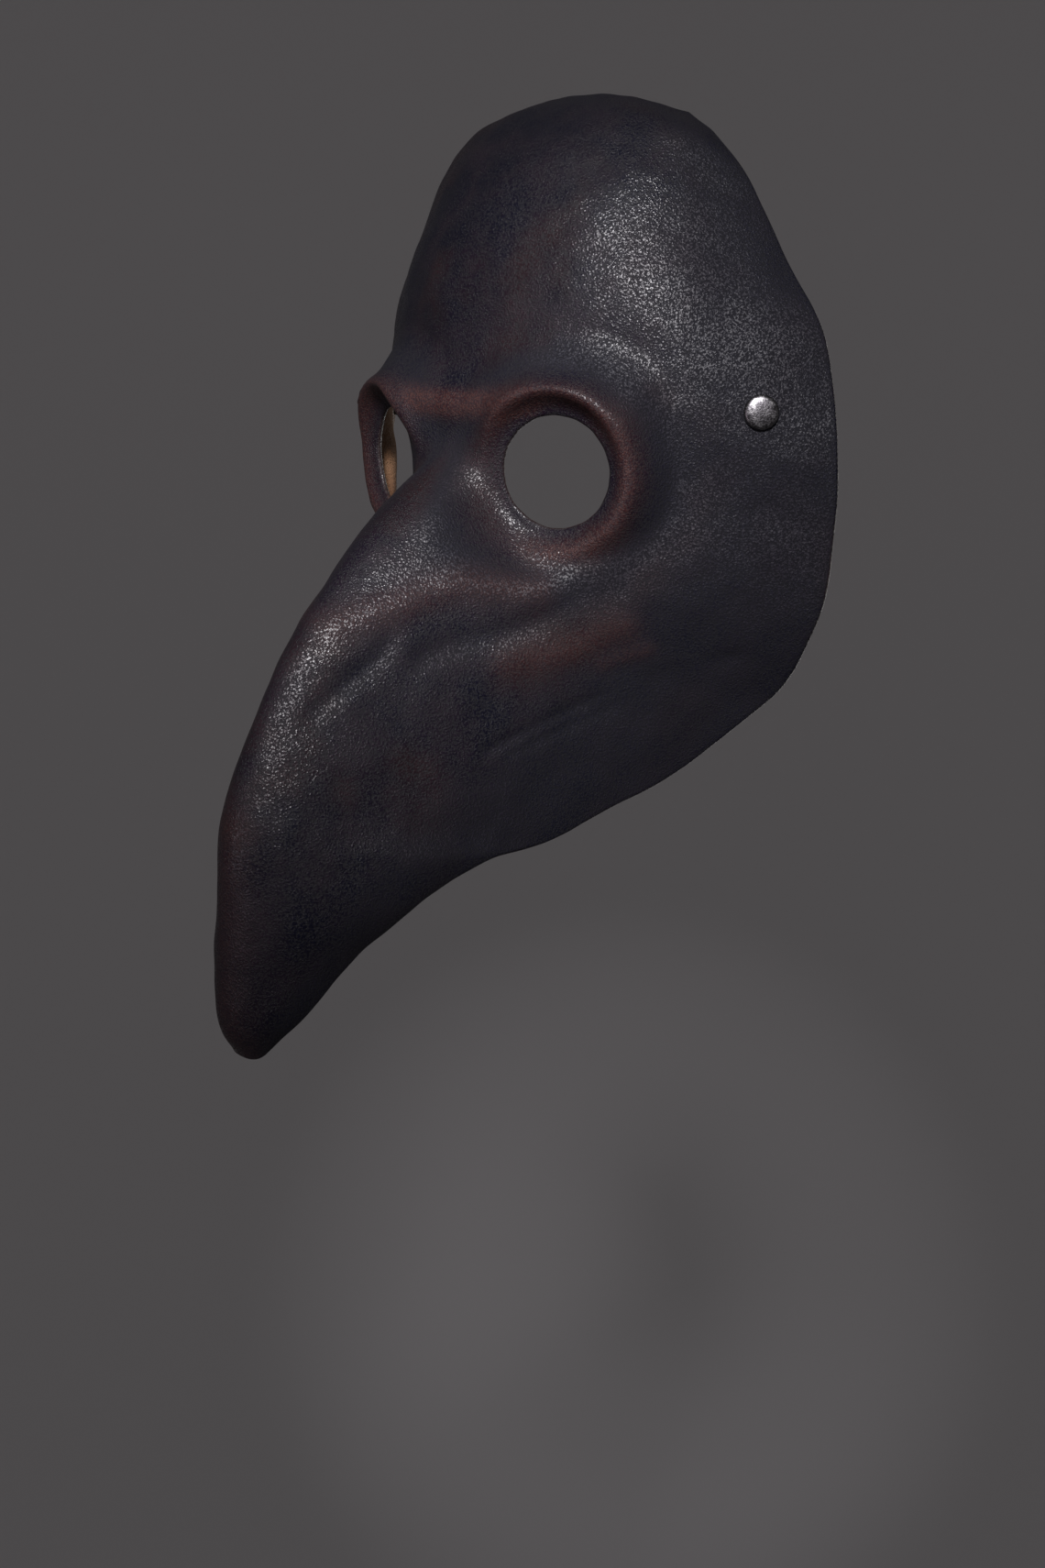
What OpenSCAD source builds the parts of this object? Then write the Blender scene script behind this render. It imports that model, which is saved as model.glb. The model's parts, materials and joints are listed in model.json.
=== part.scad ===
// Long-beaked physician's mask in wet-moulded leather, with a buckled head strap.
// +Z is up, the mask faces -Y, and the wearer's left is +X.
// The origin lies between the two eye holes, on the bridge of the nose.

/* [Mask] */
// Height from the crown edge to the tip of the beak
mask_height = 290; // [240:1:320]
// Thickness of the moulded leather
leather_thk = 3; // [2:0.1:4]

/* [Eyes] */
// Diameter of each eye hole
eye_dia = 34.4; // [28:0.2:38]
// Distance between the two eye centres
eye_spacing = 74; // [66:0.5:80]
// Outward turn of each eye
eye_splay = 22; // [10:0.5:30]
// Downward tilt of each eye
eye_tilt = 3; // [0:0.5:6]

/* [Rivets] */
// Diameter of a temple rivet cap
rivet_cap_dia = 10.6; // [8:0.1:13]
// Diameter of a rivet post
rivet_post_dia = 4; // [3:0.1:5]

/* [Strap] */
// Width of the head strap
strap_w = 16; // [12:0.5:18]
// Thickness of the strap leather
strap_thk = 2.2; // [1.6:0.1:2.6]
// Number of adjusting holes in the billet
adjust_holes = 6; // [3:1:7]

/* [Hidden] */
$fn = 96;

size = mask_height / 290;

// Each row is one section through the mask, from the crown to the beak tip:
// ridge y, ridge z, rim y, rim z, half width, crown breadth, wall flare, wall reach
SECTIONS = [
    [46, 118, 57, 110, 42, 0.50, 58, 0.30],
    [34, 112, 54, 95, 61, 0.52, 34, 0.32],
    [18, 98, 56, 76, 72, 0.50, 32, 0.36],
    [6, 77, 57, 59, 82, 0.45, 34, 0.40],
    [0, 54, 56, 44, 92.5, 0.40, 38, 0.40],
    [-3, 34, 54, 28, 98.5, 0.35, 42, 0.40],
    [-10, 19, 52, 8, 102, 0.30, 46, 0.35],
    [-12, 4, 52, -14, 102, 0.26, 48, 0.35],
    [-37, -14, 51, -46, 97, 0.20, 48, 0.35],
    [-60, -34, 46, -75, 78.5, 0.22, 40, 0.35],
    [-81, -61, 27, -97, 59, 0.26, 25, 0.35],
    [-94, -86, -8, -111, 44, 0.34, 15, 0.35],
    [-98, -104, -31, -114, 39, 0.38, 10, 0.35],
    [-99, -122, -51, -124, 32, 0.42, 8, 0.35],
    [-100, -141, -68, -138, 23, 0.50, 8, 0.35],
    [-100, -158, -84, -157, 14, 0.55, 8, 0.35],
    [-95, -168, -91, -167, 7, 0.55, 8, 0.35]
];
STEPS = 4;      // rings between two sections
HALF_PTS = 20;  // points from the ridge to one rim
CORNER = 0.04;  // how much of the half width the rounded crown corners lose

// Smooth curve through a list of rows, at position s
function blend_rows(a, b, c, d, t) =
    0.5 * (2 * b + (c - a) * t + (2 * a - 5 * b + 4 * c - d) * t * t
    + (3 * b - a - 3 * c + d) * t * t * t);
function section_at(s) =
    let (n = len(SECTIONS), i = min(floor(s), n - 2), t = s - i)
    blend_rows(SECTIONS[max(i - 1, 0)], SECTIONS[i], SECTIONS[i + 1],
        SECTIONS[min(i + 2, n - 1)], t);
function bezier(a, b, c, d, t) =
    a * pow(1 - t, 3) + 3 * b * t * pow(1 - t, 2) + 3 * c * t * t * (1 - t) + d * pow(t, 3);

// A point of the outer face: s runs down the mask, p from -1 to 1 across it
function body_point(s, p) =
    let (q = section_at(s), w = q[4], reach = norm([q[2] - q[0], q[3] - q[1]]),
        chord = q[7] * norm([w, reach]),
        b = bezier([0, 0], [q[5] * w, 0], [w - chord * sin(q[6]), reach - chord * cos(q[6])],
            [w, reach], abs(p)),
        back = [q[2] - q[0], q[3] - q[1]] / reach)
    size * [sign(p) * b[0], q[0] + b[1] * back[0], q[1] + b[1] * back[1]];

// Eye frame, for side = 1 on the wearer's left and -1 on the right
function eye_centre(side) = [side * eye_spacing / 2, 0, 0];
function eye_axis(side) =
    [side * sin(eye_splay) * cos(eye_tilt), -cos(eye_splay) * cos(eye_tilt), -sin(eye_tilt)];
RIM_CREST = 24;   // radius of the rolled rim's crest
RIM_HEIGHT = 3.6;   // how far the crest stands over the hole's edge
RIM_BROAD = 4.5;  // breadth of the crest
RIM_END = 36;     // where the rim has died into the face
RIM_FALL = 0.8;   // share of the crest that is lost on the side of the nose
BROW_TALL = 0.8;  // how much higher the crest stands under the brow, as a share
BROW_OUT = 2;     // how much further out it lies there
BROW_REACH = 8;   // how much further the rim reaches there
function fade(x) = let (t = min(max(x, 0), 1)) t * t * (3 - 2 * t);
// The rim dies away towards the nose, and is higher and further out under the brow
function brow(up) = fade((up - 0.1) / 0.8);
function rim_profile(r, out, up) =
    RIM_HEIGHT * (1 - RIM_FALL * fade((0.1 - out) / 0.9) * (1 - brow(up)))
    * (1 + BROW_TALL * brow(up))
    * exp(-pow((r - RIM_CREST - BROW_OUT * brow(up)) / RIM_BROAD, 2));
function with_rim(p, side) =
    let (n = eye_axis(side), right = unit(cross([0, 0, 1], n)), q = p - eye_centre(side),
        h = q * n, r = max(norm(q - h * n), 0.001),
        out = side * (q * right) / r, up = (q * cross(n, right)) / r,
        proud = fade((h + 4) / 8), start = RIM_CREST + 1 - 6 * proud,
        end = RIM_END + BROW_REACH * fade((up - 0.3) / 0.5),
        k = 1 - fade((r - start) / (end - start)))
    p + k * (rim_profile(r, out, up) - h) * n;
function outer_point(s, p) = with_rim(body_point(s, p), p < 0 ? -1 : 1);

function in_corner(s) = 1 - CORNER * pow(max(1 - s / 1.3, 0), 2);

function unit(v) = v / norm(v);

// Temple rivets: a place on the outer face, and the way out of the leather there
RIVET_S = 5.6;
RIVET_P = 0.835;
function rivet_point(side) = outer_point(RIVET_S, side * RIVET_P);
function rivet_axis(side) =
    let (ds = outer_point(RIVET_S + 0.1, RIVET_P) - outer_point(RIVET_S - 0.1, RIVET_P),
        dp = outer_point(RIVET_S, RIVET_P + 0.02) - outer_point(RIVET_S, RIVET_P - 0.02),
        n = unit(cross(ds, dp))) [side * n[0], n[1], n[2]];

// Stands children on a point, with their +Z along a direction and +Y kept upright
module stand_on(point, axis) {
    z = unit(axis);
    x = unit(cross([0, 0, 1], z));
    y = cross(z, x);
    multmatrix([
        [x[0], y[0], z[0], point[0]],
        [x[1], y[1], z[1], point[1]],
        [x[2], y[2], z[2], point[2]]
    ]) children();
}

FIT = 0.05;       // radial clearance of a turning fit
SEAT = 0.4;       // depth that a temple rivet is drawn into the leather
TAB_GAP = 0.6;    // from the flat tab to the hollow inner face
CAP_H = 2.4;      // height of a temple rivet cap, from its seat
BACK_DIA = 9;     // back cap of a temple rivet
BACK_H = 1.4;
TOUCH = 0.1;      // gap between faces that touch
POST_NIP = 0.8;   // how far a post goes into its back cap
FOLD_POST = 2.5;  // diameter of the fold rivet's post
PLY = 0.15;       // gap between two layers of strap

module face_shell() {
    rows = (len(SECTIONS) - 1) * STEPS;
    cols = 2 * HALF_PTS;
    outer = [for (i = [0 : rows]) [for (j = [0 : cols])
        outer_point(i / STEPS, in_corner(i / STEPS) * (j / HALF_PTS - 1))]];
    function near(i, hi) = min(max(i, 0), hi);
    function normal(i, j) = unit(cross(
        outer[near(i + 1, rows)][j] - outer[near(i - 1, rows)][j],
        outer[i][near(j + 1, cols)] - outer[i][near(j - 1, cols)]));
    inner = [for (i = [0 : rows]) [for (j = [0 : cols]) outer[i][j] - leather_thk * normal(i, j)]];
    span = cols + 1;
    half = (rows + 1) * span;
    points = [for (r = outer) each r, for (r = inner) each r];
    function quad(a, b, c, d) = [[a, b, c], [a, c, d]];
    faces = [
        for (i = [0 : rows - 1]) for (j = [0 : cols - 1])
            let (a = i * span + j) each concat(
                quad(a, a + 1, a + span + 1, a + span),
                quad(half + a, half + a + span, half + a + span + 1, half + a + 1)),
        for (i = [0 : rows - 1]) let (a = i * span, b = a + cols) each concat(
            quad(a, a + span, half + a + span, half + a),
            quad(b, half + b, half + b + span, b + span)),
        for (j = [0 : cols - 1]) let (a = j, b = rows * span + j) each concat(
            quad(a, half + a, half + a + 1, a + 1),
            quad(b, b + 1, half + b + 1, half + b))
    ];
    color("#2a2422") difference() {
        polyhedron(points, faces);
        for (side = [-1, 1]) {
            stand_on(eye_centre(side), eye_axis(side))
                cylinder(h = 60, d = eye_dia, center = true);
            stand_on(rivet_point(side), rivet_axis(side)) {
                translate([0, 0, -12]) cylinder(h = 20, d = rivet_post_dia);
                translate([0, 0, -SEAT]) cylinder(h = 6, d = rivet_cap_dia + 0.4);
            }
        }
    }
}

// A domed cap of a given diameter and height, standing on z = 0
module cap(dia, h) {
    edge = 0.6;
    dome = h - edge;
    ball = (dome * dome + dia * dia / 4) / (2 * dome);
    cylinder(h = edge, d = dia);
    intersection() {
        translate([0, 0, edge]) cylinder(h = dome, d = dia);
        translate([0, 0, h - ball]) sphere(r = ball);
    }
}

module temple_rivet(side) {
    color("#4a4a4e") stand_on(rivet_point(side), rivet_axis(side)) union() {
        translate([0, 0, -SEAT]) cap(rivet_cap_dia, CAP_H);
        translate([0, 0, -SEAT - TAB_DEPTH - strap_thk - POST_NIP])
            cylinder(h = TAB_DEPTH + strap_thk + POST_NIP + 0.2, d = rivet_post_dia);
    }
}
// From the rivet seat down to the outer face of the tab
TAB_DEPTH = leather_thk - SEAT + TAB_GAP;

module temple_rivet_back(side) {
    color("#4a4a4e") stand_on(rivet_point(side), rivet_axis(side))
        translate([0, 0, -SEAT - TAB_DEPTH - strap_thk]) mirror([0, 0, 1]) difference() {
            cap(BACK_DIA, BACK_H);
            translate([0, 0, -1]) cylinder(h = 1 + POST_NIP, d = rivet_post_dia);
        }
}

// Side tabs: a strip that lies on the inner face at the rivet and turns to face sideways
TAB_W = 14;
TAB_REAR = 5;       // straight leather behind the rivet
TAB_BEND_R = 9;
TAB_TAIL = 10;      // from the bend to the pivot
TAB_TILT = asin(rivet_axis(1)[2]);
WALL_TURN = atan2(rivet_axis(1)[0], -rivet_axis(1)[1]);
TAB_BEND = TAB_BEND_R * (90 - WALL_TURN) * PI / 180;
PIVOT_D = TAB_REAR + TAB_BEND + TAB_TAIL;
TAB_ROOT = rivet_point(1) - (SEAT + TAB_DEPTH + strap_thk / 2) * rivet_axis(1);
function heading(d) =
    WALL_TURN + (90 - WALL_TURN) * min(max((d - TAB_REAR) / TAB_BEND, 0), 1);
function tab_spot(d) =
    let (a = heading(d), bent = TAB_BEND_R * [sin(a) - sin(WALL_TURN), cos(WALL_TURN) - cos(a), 0],
        root = min(d, TAB_REAR) * [cos(WALL_TURN), sin(WALL_TURN), 0],
        tail = max(d - TAB_REAR - TAB_BEND, 0) * [0, 1, 0])
    TAB_ROOT + root + bent + tail;
PIVOT = tab_spot(PIVOT_D);

module side_tab(side) {
    r = TAB_W / 2;
    ends = [0.02, 0.3, 0.8, 1.6, 2.8, 4.4, r];
    turns = [1 : 8];
    stops = [
        for (e = ends) e - r,
        for (k = turns) TAB_REAR + TAB_BEND * (k - 1) / 7,
        for (k = [len(ends) - 1 : -1 : 0]) PIVOT_D + r - ends[k]
    ];
    function half_width(d) =
        let (e = min(d + r, PIVOT_D + r - d)) e >= r ? r : sqrt(r * r - (r - e) * (r - e));
    function ring(d) =
        let (a = heading(d), tilt = TAB_TILT * (90 - a) / (90 - WALL_TURN),
            n = [sin(a) * cos(tilt), -cos(a) * cos(tilt), sin(tilt)],
            up = cross(n, [cos(a), sin(a), 0]), c = tab_spot(d),
            w = half_width(d) * up, t = strap_thk / 2 * n)
        [c + w + t, c + w - t, c - w - t, c - w + t];
    last = len(stops) - 1;
    points = [for (d = stops) each ring(d)];
    faces = [
        [3, 2, 1, 0],
        for (i = [0 : last - 1]) for (k = [0 : 3])
            [4 * i + k, 4 * i + (k + 1) % 4, 4 * i + 4 + (k + 1) % 4, 4 * i + 4 + k],
        [4 * last, 4 * last + 1, 4 * last + 2, 4 * last + 3]
    ];
    color("#3a2a20") mirror([side < 0 ? 1 : 0, 0, 0]) difference() {
        polyhedron(points, faces);
        stand_on(rivet_point(1), rivet_axis(1))
            translate([0, 0, -12]) cylinder(h = 14, d = rivet_post_dia);
        translate(PIVOT) rotate([0, 90, 0])
            cylinder(h = 10, d = rivet_post_dia, center = true);
    }
}

// Strap loop: it hangs from both pivots in a flat plane, straight, bent, straight, round
STRAP_X = PIVOT[0] - strap_thk - TOUCH;
DROP = 14;          // straight below a pivot
BEND_R = 40;
LEAN = 20;          // how far the arms lean in
ARM = 52;           // straight arm that holds the buckle
BEND = BEND_R * LEAN * PI / 180;
BOTTOM_R = (STRAP_X - BEND_R * (1 - cos(LEAN)) - ARM * sin(LEAN)) / cos(LEAN);
HALF_LOOP = DROP + BEND + ARM + BOTTOM_R * (90 - LEAN) * PI / 180;
LOOP = 2 * HALF_LOOP;

// [x, z, turn] at a distance s along the loop from the left pivot
function left_arm(s) =
    s < DROP ? [STRAP_X, PIVOT[2] - s, 0]
    : s < DROP + BEND ? let (a = (s - DROP) / BEND * LEAN)
        [STRAP_X - BEND_R * (1 - cos(a)), PIVOT[2] - DROP - BEND_R * sin(a), a]
    : let (b = left_arm(DROP + BEND - 0.0001), t = min(s - DROP - BEND, ARM),
        a = LEAN + max(s - DROP - BEND - ARM, 0) / BOTTOM_R * 180 / PI)
        [b[0] - t * sin(LEAN) - BOTTOM_R * (cos(LEAN) - cos(a)),
         b[1] - t * cos(LEAN) - BOTTOM_R * (sin(a) - sin(LEAN)), a];
function loop(s) = s <= HALF_LOOP ? left_arm(s)
    : let (m = left_arm(LOOP - s)) [-m[0], m[1], 180 - m[2]];
// A spot at distance s, raised n off the strap's middle, away from the head
function off_loop(q) = let (m = loop(q[0])) [m[0] + q[1] * cos(m[2]), m[1] - q[1] * sin(m[2])];

module at_loop(s, n = 0) {
    m = off_loop([s, n]);
    translate([m[0], PIVOT[1], m[1]]) rotate([0, 90 + loop(s)[2], 0]) children();
}
// A strip of leather along a list of [s, n] spots
module strip(spots, width) {
    c = [for (q = spots) off_loop(q)];
    last = len(c) - 1;
    n = [for (i = [0 : last])
        let (d = unit(c[min(i + 1, last)] - c[max(i - 1, 0)])) strap_thk / 2 * [-d[1], d[0]]];
    translate([0, PIVOT[1], 0]) rotate([90, 0, 0]) linear_extrude(width, center = true)
        polygon([for (i = [0 : last]) c[i] + n[i], for (i = [last : -1 : 0]) c[i] - n[i]]);
}
module pivot_end(side) {
    translate([side * STRAP_X, PIVOT[1], PIVOT[2]]) rotate([0, 90, 0])
        cylinder(h = strap_thk, d = strap_w, center = true);
}
module pivot_bore(side) {
    translate([side * STRAP_X, PIVOT[1], PIVOT[2]]) rotate([0, 90, 0])
        cylinder(h = 10, d = rivet_post_dia + 2 * FIT, center = true);
}

// Buckle, placed along the straight left arm
HEEL_S = 52;        // heel bar
ROLLER_S = 67;      // far bar and its roller
BAR_R = 1.2;
ROLLER_R = 2.2;
WRAP_R = BAR_R + TOUCH + strap_thk / 2;
HEEL_N = -WRAP_R;
FOLD_N = -strap_thk - PLY;
FOLD_END = 30;      // where the folded end stops
UNDER_N = -2;       // the billet where it dips under the roller
OVER_N = 3.6;       // and where it lies over the fold rivet
ROLLER_N = UNDER_N + strap_thk / 2 + PLY + ROLLER_R;
RAIL_R = 1.5;       // side rails, into which both bars run
FRAME_HALF = strap_w / 2 + 0.4 + RAIL_R;
PRONG_W = 2.4;
PRONG_T = 1.8;
PRONG_NIP = 0.4;    // how far the prong runs into its own eye
PRONG_HOLE_S = 57;
HOLE_STEP = 11;
HOLE_DIA = 3;
TIP_S = 31;         // centre of the billet's round tip
TIP_R = strap_w / 2 + 0.5;
FOLD_RIVET_S = 35.5;
FOLD_RIVET_DIA = 7;
FOLD_CAP_H = 1.2;
KEEPER_S = 42.2;
KEEPER_W = 5;
KEEPER_T = 1.6;
KEEPER_SLACK = 0.25;

module buckle_strap() {
    spots = [
        for (s = [0 : 3.5 : 28]) [s, 0],
        [40, 0],
        for (a = [90 : -18 : -90]) [HEEL_S + WRAP_R * cos(a), HEEL_N + WRAP_R * sin(a)],
        for (t = [0.15 : 0.17 : 1]) [HEEL_S - 7 * t, 2 * HEEL_N + (FOLD_N - 2 * HEEL_N) * fade(t)],
        [FOLD_END, FOLD_N]
    ];
    color("#33241b") difference() {
        union() {
            strip(spots, strap_w);
            pivot_end(1);
        }
        pivot_bore(1);
        at_loop(HEEL_S, HEEL_N) translate([1.5, 0, 0]) cube([11, PRONG_W + 1, 9], center = true);
        at_loop(FOLD_RIVET_S) cylinder(h = 12, d = FOLD_POST, center = true);
    }
}

function billet_n(s) =
    s < HEEL_S - 6 ? OVER_N
    : s < HEEL_S + 2 ? OVER_N + (2.6 - OVER_N) * fade((s - HEEL_S + 6) / 8)
    : s < ROLLER_S ? 2.6 + (UNDER_N - 2.6) * fade((s - HEEL_S - 2) / (ROLLER_S - HEEL_S - 3))
    : UNDER_N - UNDER_N * fade((s - ROLLER_S - 4) / 14);

module billet_strap() {
    spots = [
        for (s = [TIP_S - TIP_R, TIP_S - 5, TIP_S - 2]) [s, OVER_N],
        for (s = [HEEL_S - 7 : 1.5 : ROLLER_S + 18]) [s, billet_n(s)],
        for (k = [0 : 40]) let (s = ROLLER_S + 20 + k * (LOOP - ROLLER_S - 20) / 40) [s, 0]
    ];
    color("#33241b") difference() {
        union() {
            strip(spots, strap_w);
            pivot_end(-1);
        }
        pivot_bore(-1);
        at_loop(TIP_S, OVER_N) difference() {
            translate([-TIP_R / 2 - 1, 0, 0]) cube([TIP_R + 2, strap_w + 4, 6], center = true);
            cylinder(h = 8, r = TIP_R, center = true);
        }
        at_loop(PRONG_HOLE_S) cube([7.5, PRONG_W + 1, 14], center = true);
        for (k = [-2 : adjust_holes - 3]) if (k != 0)
            let (s = PRONG_HOLE_S + k * HOLE_STEP)
            at_loop(s, billet_n(s)) cylinder(h = 8, d = HOLE_DIA, center = true);
    }
}

module bar(r, half) { rotate([90, 0, 0]) cylinder(h = 2 * half, r = r, center = true); }
module buckle_frame() {
    run = ROLLER_S - HEEL_S;
    rise = ROLLER_N - HEEL_N;
    color("#7c7468") at_loop(HEEL_S, HEEL_N) union() {
        bar(BAR_R, FRAME_HALF);
        translate([run, 0, rise]) bar(BAR_R, FRAME_HALF);
        for (v = [-FRAME_HALF, FRAME_HALF]) translate([0, v, 0])
            rotate([0, 90 - atan2(rise, run), 0]) translate([0, 0, -RAIL_R])
            cylinder(h = norm([run, rise]) + 2 * RAIL_R, r = RAIL_R);
    }
}
module buckle_roller() {
    color("#8a8276") at_loop(ROLLER_S, ROLLER_N) difference() {
        bar(ROLLER_R, strap_w / 2);
        bar(BAR_R + FIT, strap_w);
    }
}
module buckle_prong() {
    // it climbs at the angle that just clears the roller
    run = ROLLER_S - HEEL_S;
    root = BAR_R + FIT + PRONG_T / 2;
    drop = root - PRONG_NIP - (ROLLER_N - HEEL_N);
    climb = asin((ROLLER_R + PRONG_T / 2 + PLY) / norm([run, drop])) - atan2(drop, run);
    color("#7c7468") at_loop(HEEL_S, HEEL_N) difference() {
        union() {
            bar(root + PRONG_NIP, PRONG_W / 2);
            translate([0, 0, root - PRONG_NIP]) rotate([0, -climb, 0]) {
                translate([0, -PRONG_W / 2, -PRONG_T / 2]) cube([run + 1.5, PRONG_W, PRONG_T]);
                translate([run + 1.5, 0, -PRONG_T / 2]) cylinder(h = PRONG_T, d = PRONG_W);
            }
        }
        bar(BAR_R + FIT, PRONG_W);
    }
}

module fold_rivet() {
    color("#4a4a4e") at_loop(FOLD_RIVET_S) {
        translate([0, 0, strap_thk / 2]) cap(FOLD_RIVET_DIA, FOLD_CAP_H);
        translate([0, 0, FOLD_N - strap_thk / 2 - POST_NIP])
            cylinder(h = strap_thk - FOLD_N + POST_NIP + 0.2, d = FOLD_POST);
    }
}
module fold_rivet_back() {
    color("#4a4a4e") at_loop(FOLD_RIVET_S, FOLD_N - strap_thk / 2) mirror([0, 0, 1]) difference() {
        cap(FOLD_RIVET_DIA, FOLD_CAP_H);
        translate([0, 0, -1]) cylinder(h = 1 + POST_NIP, d = FOLD_POST);
    }
}
module strap_keeper() {
    low = FOLD_N - strap_thk / 2 - KEEPER_SLACK;
    high = OVER_N + strap_thk / 2 + KEEPER_SLACK;
    wide = strap_w + 2 * KEEPER_SLACK;
    color("#33241b") at_loop(KEEPER_S, (low + high) / 2) difference() {
        cube([KEEPER_W, wide + 2 * KEEPER_T, high - low + 2 * KEEPER_T], center = true);
        cube([KEEPER_W + 2, wide, high - low], center = true);
    }
}

PIVOT_CAP = 9;      // both caps of a pivot rivet
module pivot_rivet(side) {
    reach = 2 * strap_thk + 2 * TOUCH;
    color("#4a4a4e") mirror([side < 0 ? 1 : 0, 0, 0])
    translate([PIVOT[0] + strap_thk / 2, PIVOT[1], PIVOT[2]]) rotate([0, 90, 0]) union() {
        cap(PIVOT_CAP, 1.8);
        translate([0, 0, -reach - POST_NIP])
            cylinder(h = reach + POST_NIP + 0.2, d = rivet_post_dia);
    }
}
module pivot_rivet_back(side) {
    color("#4a4a4e") mirror([side < 0 ? 1 : 0, 0, 0])
    translate([STRAP_X - strap_thk / 2 - TOUCH, PIVOT[1], PIVOT[2]]) rotate([0, -90, 0])
        difference() {
            cap(PIVOT_CAP, 1.4);
            translate([0, 0, -1]) cylinder(h = 1 + POST_NIP, d = rivet_post_dia);
        }
}

face_shell();
temple_rivet(1);  // temple_rivet_left
temple_rivet(-1);  // temple_rivet_right
temple_rivet_back(1);  // temple_rivet_back_left
temple_rivet_back(-1);  // temple_rivet_back_right
side_tab(1);  // side_tab_left
side_tab(-1);  // side_tab_right
pivot_rivet(1);  // pivot_rivet_left
pivot_rivet(-1);  // pivot_rivet_right
pivot_rivet_back(1);  // pivot_rivet_back_left
pivot_rivet_back(-1);  // pivot_rivet_back_right
buckle_strap();
billet_strap();
buckle_frame();
buckle_roller();
buckle_prong();
fold_rivet();
fold_rivet_back();
strap_keeper();
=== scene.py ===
import json
import math

import bmesh
import bpy
import numpy as np
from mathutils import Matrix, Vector, noise


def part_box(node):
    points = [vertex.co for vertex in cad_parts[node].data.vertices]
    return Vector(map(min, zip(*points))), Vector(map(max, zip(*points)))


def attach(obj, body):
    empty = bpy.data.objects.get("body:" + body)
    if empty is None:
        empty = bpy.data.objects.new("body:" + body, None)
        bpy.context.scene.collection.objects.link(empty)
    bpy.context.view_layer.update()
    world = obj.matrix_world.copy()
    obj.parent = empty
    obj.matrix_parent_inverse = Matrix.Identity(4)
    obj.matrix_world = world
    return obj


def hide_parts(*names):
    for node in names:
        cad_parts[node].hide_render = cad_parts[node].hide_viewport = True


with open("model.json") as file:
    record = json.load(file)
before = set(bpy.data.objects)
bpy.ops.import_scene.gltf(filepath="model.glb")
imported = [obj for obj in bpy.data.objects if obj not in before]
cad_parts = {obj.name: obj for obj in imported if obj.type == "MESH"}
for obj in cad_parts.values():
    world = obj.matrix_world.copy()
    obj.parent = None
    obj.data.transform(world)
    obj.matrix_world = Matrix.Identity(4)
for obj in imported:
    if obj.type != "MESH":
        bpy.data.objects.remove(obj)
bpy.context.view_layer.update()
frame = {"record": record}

# ---------------------------------------------------------------------------------------------
# Face shell: one piece of vegetable-tanned cowhide, soaked, pressed over a form and dried hard.
# It is dyed nearly black and rubbed back to red-brown on the high places. The eye holes are cut
# through to raw tan leather, and the inner face is left undyed.
# All lengths in the shell are millimetres, until skin_over turns them into metres.
LEATHER = 3.0
# ridge y, ridge z, rim y, rim z, half width, crown breadth, wall flare, wall reach
SECTIONS = np.array([
    [46, 118, 57, 110, 42, 0.50, 58, 0.30],
    [34, 112, 54, 95, 61, 0.52, 34, 0.32],
    [18, 98, 56, 76, 72, 0.50, 32, 0.36],
    [6, 77, 57, 59, 82, 0.45, 34, 0.40],
    [0, 54, 56, 44, 92.5, 0.40, 38, 0.40],
    [-3, 34, 54, 28, 98.5, 0.35, 42, 0.40],
    [-10, 19, 52, 8, 102, 0.30, 46, 0.35],
    [-12, 4, 52, -14, 102, 0.26, 48, 0.35],
    [-37, -14, 51, -46, 97, 0.20, 48, 0.35],
    [-60, -34, 46, -75, 78.5, 0.22, 40, 0.35],
    [-81, -61, 27, -97, 59, 0.26, 25, 0.35],
    [-94, -86, -8, -111, 44, 0.34, 15, 0.35],
    [-98, -104, -31, -114, 39, 0.38, 10, 0.35],
    [-99, -122, -51, -124, 32, 0.42, 8, 0.35],
    [-100, -141, -68, -138, 23, 0.50, 8, 0.35],
    [-100, -158, -84, -157, 14, 0.55, 8, 0.35],
    [-95, -168, -91, -167, 7, 0.55, 8, 0.35]], float)
EYE_X = 37.0
EYE_SPLAY, EYE_TILT = math.radians(22), math.radians(3)
RIM_CREST, RIM_HEIGHT, RIM_END = 24.0, 3.6, 36.0
RIM_BROAD, RIM_FALL = 4.5, 0.8
BROW_TALL, BROW_OUT, BROW_REACH = 0.8, 2.0, 8.0
RIVET_S, RIVET_P = 5.6, 0.835      # where the left temple rivet is set, down and across
WANDER, CORNER = 0.006, 0.04       # how far the cut edge wanders, and the crown's corners draw in
RING = 19.6            # radius where the round rings of the eye hole meet the woven grid
ROWS, HALF = 232, 90   # grid of the shell: down the mask, and from the ridge to one rim


def fade(x):
    t = np.clip(x, 0.0, 1.0)
    return t * t * (3 - 2 * t)


def section_at(s):
    last = len(SECTIONS) - 1
    i = np.clip(np.floor(s).astype(int), 0, last - 1)
    t = (s - i)[..., None]
    a, b = SECTIONS[np.maximum(i - 1, 0)], SECTIONS[i]
    c, d = SECTIONS[i + 1], SECTIONS[np.minimum(i + 2, last)]
    return 0.5 * (2 * b + (c - a) * t + (2 * a - 5 * b + 4 * c - d) * t ** 2
                  + (3 * b - a - 3 * c + d) * t ** 3)


def body_face(s, p):
    q = section_at(s)
    w, dy, dz = q[..., 4], q[..., 2] - q[..., 0], q[..., 3] - q[..., 1]
    reach = np.hypot(dy, dz)
    chord, flare, t = q[..., 7] * np.hypot(w, reach), np.radians(q[..., 6]), np.abs(p)
    near, far = 3 * t * (1 - t) ** 2, 3 * t * t * (1 - t)
    across = near * q[..., 5] * w + far * (w - chord * np.sin(flare)) + w * t ** 3
    back = far * (reach - chord * np.cos(flare)) + reach * t ** 3
    return np.stack([np.sign(p) * across, q[..., 0] + back * dy / reach,
                     q[..., 1] + back * dz / reach], -1)


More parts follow.
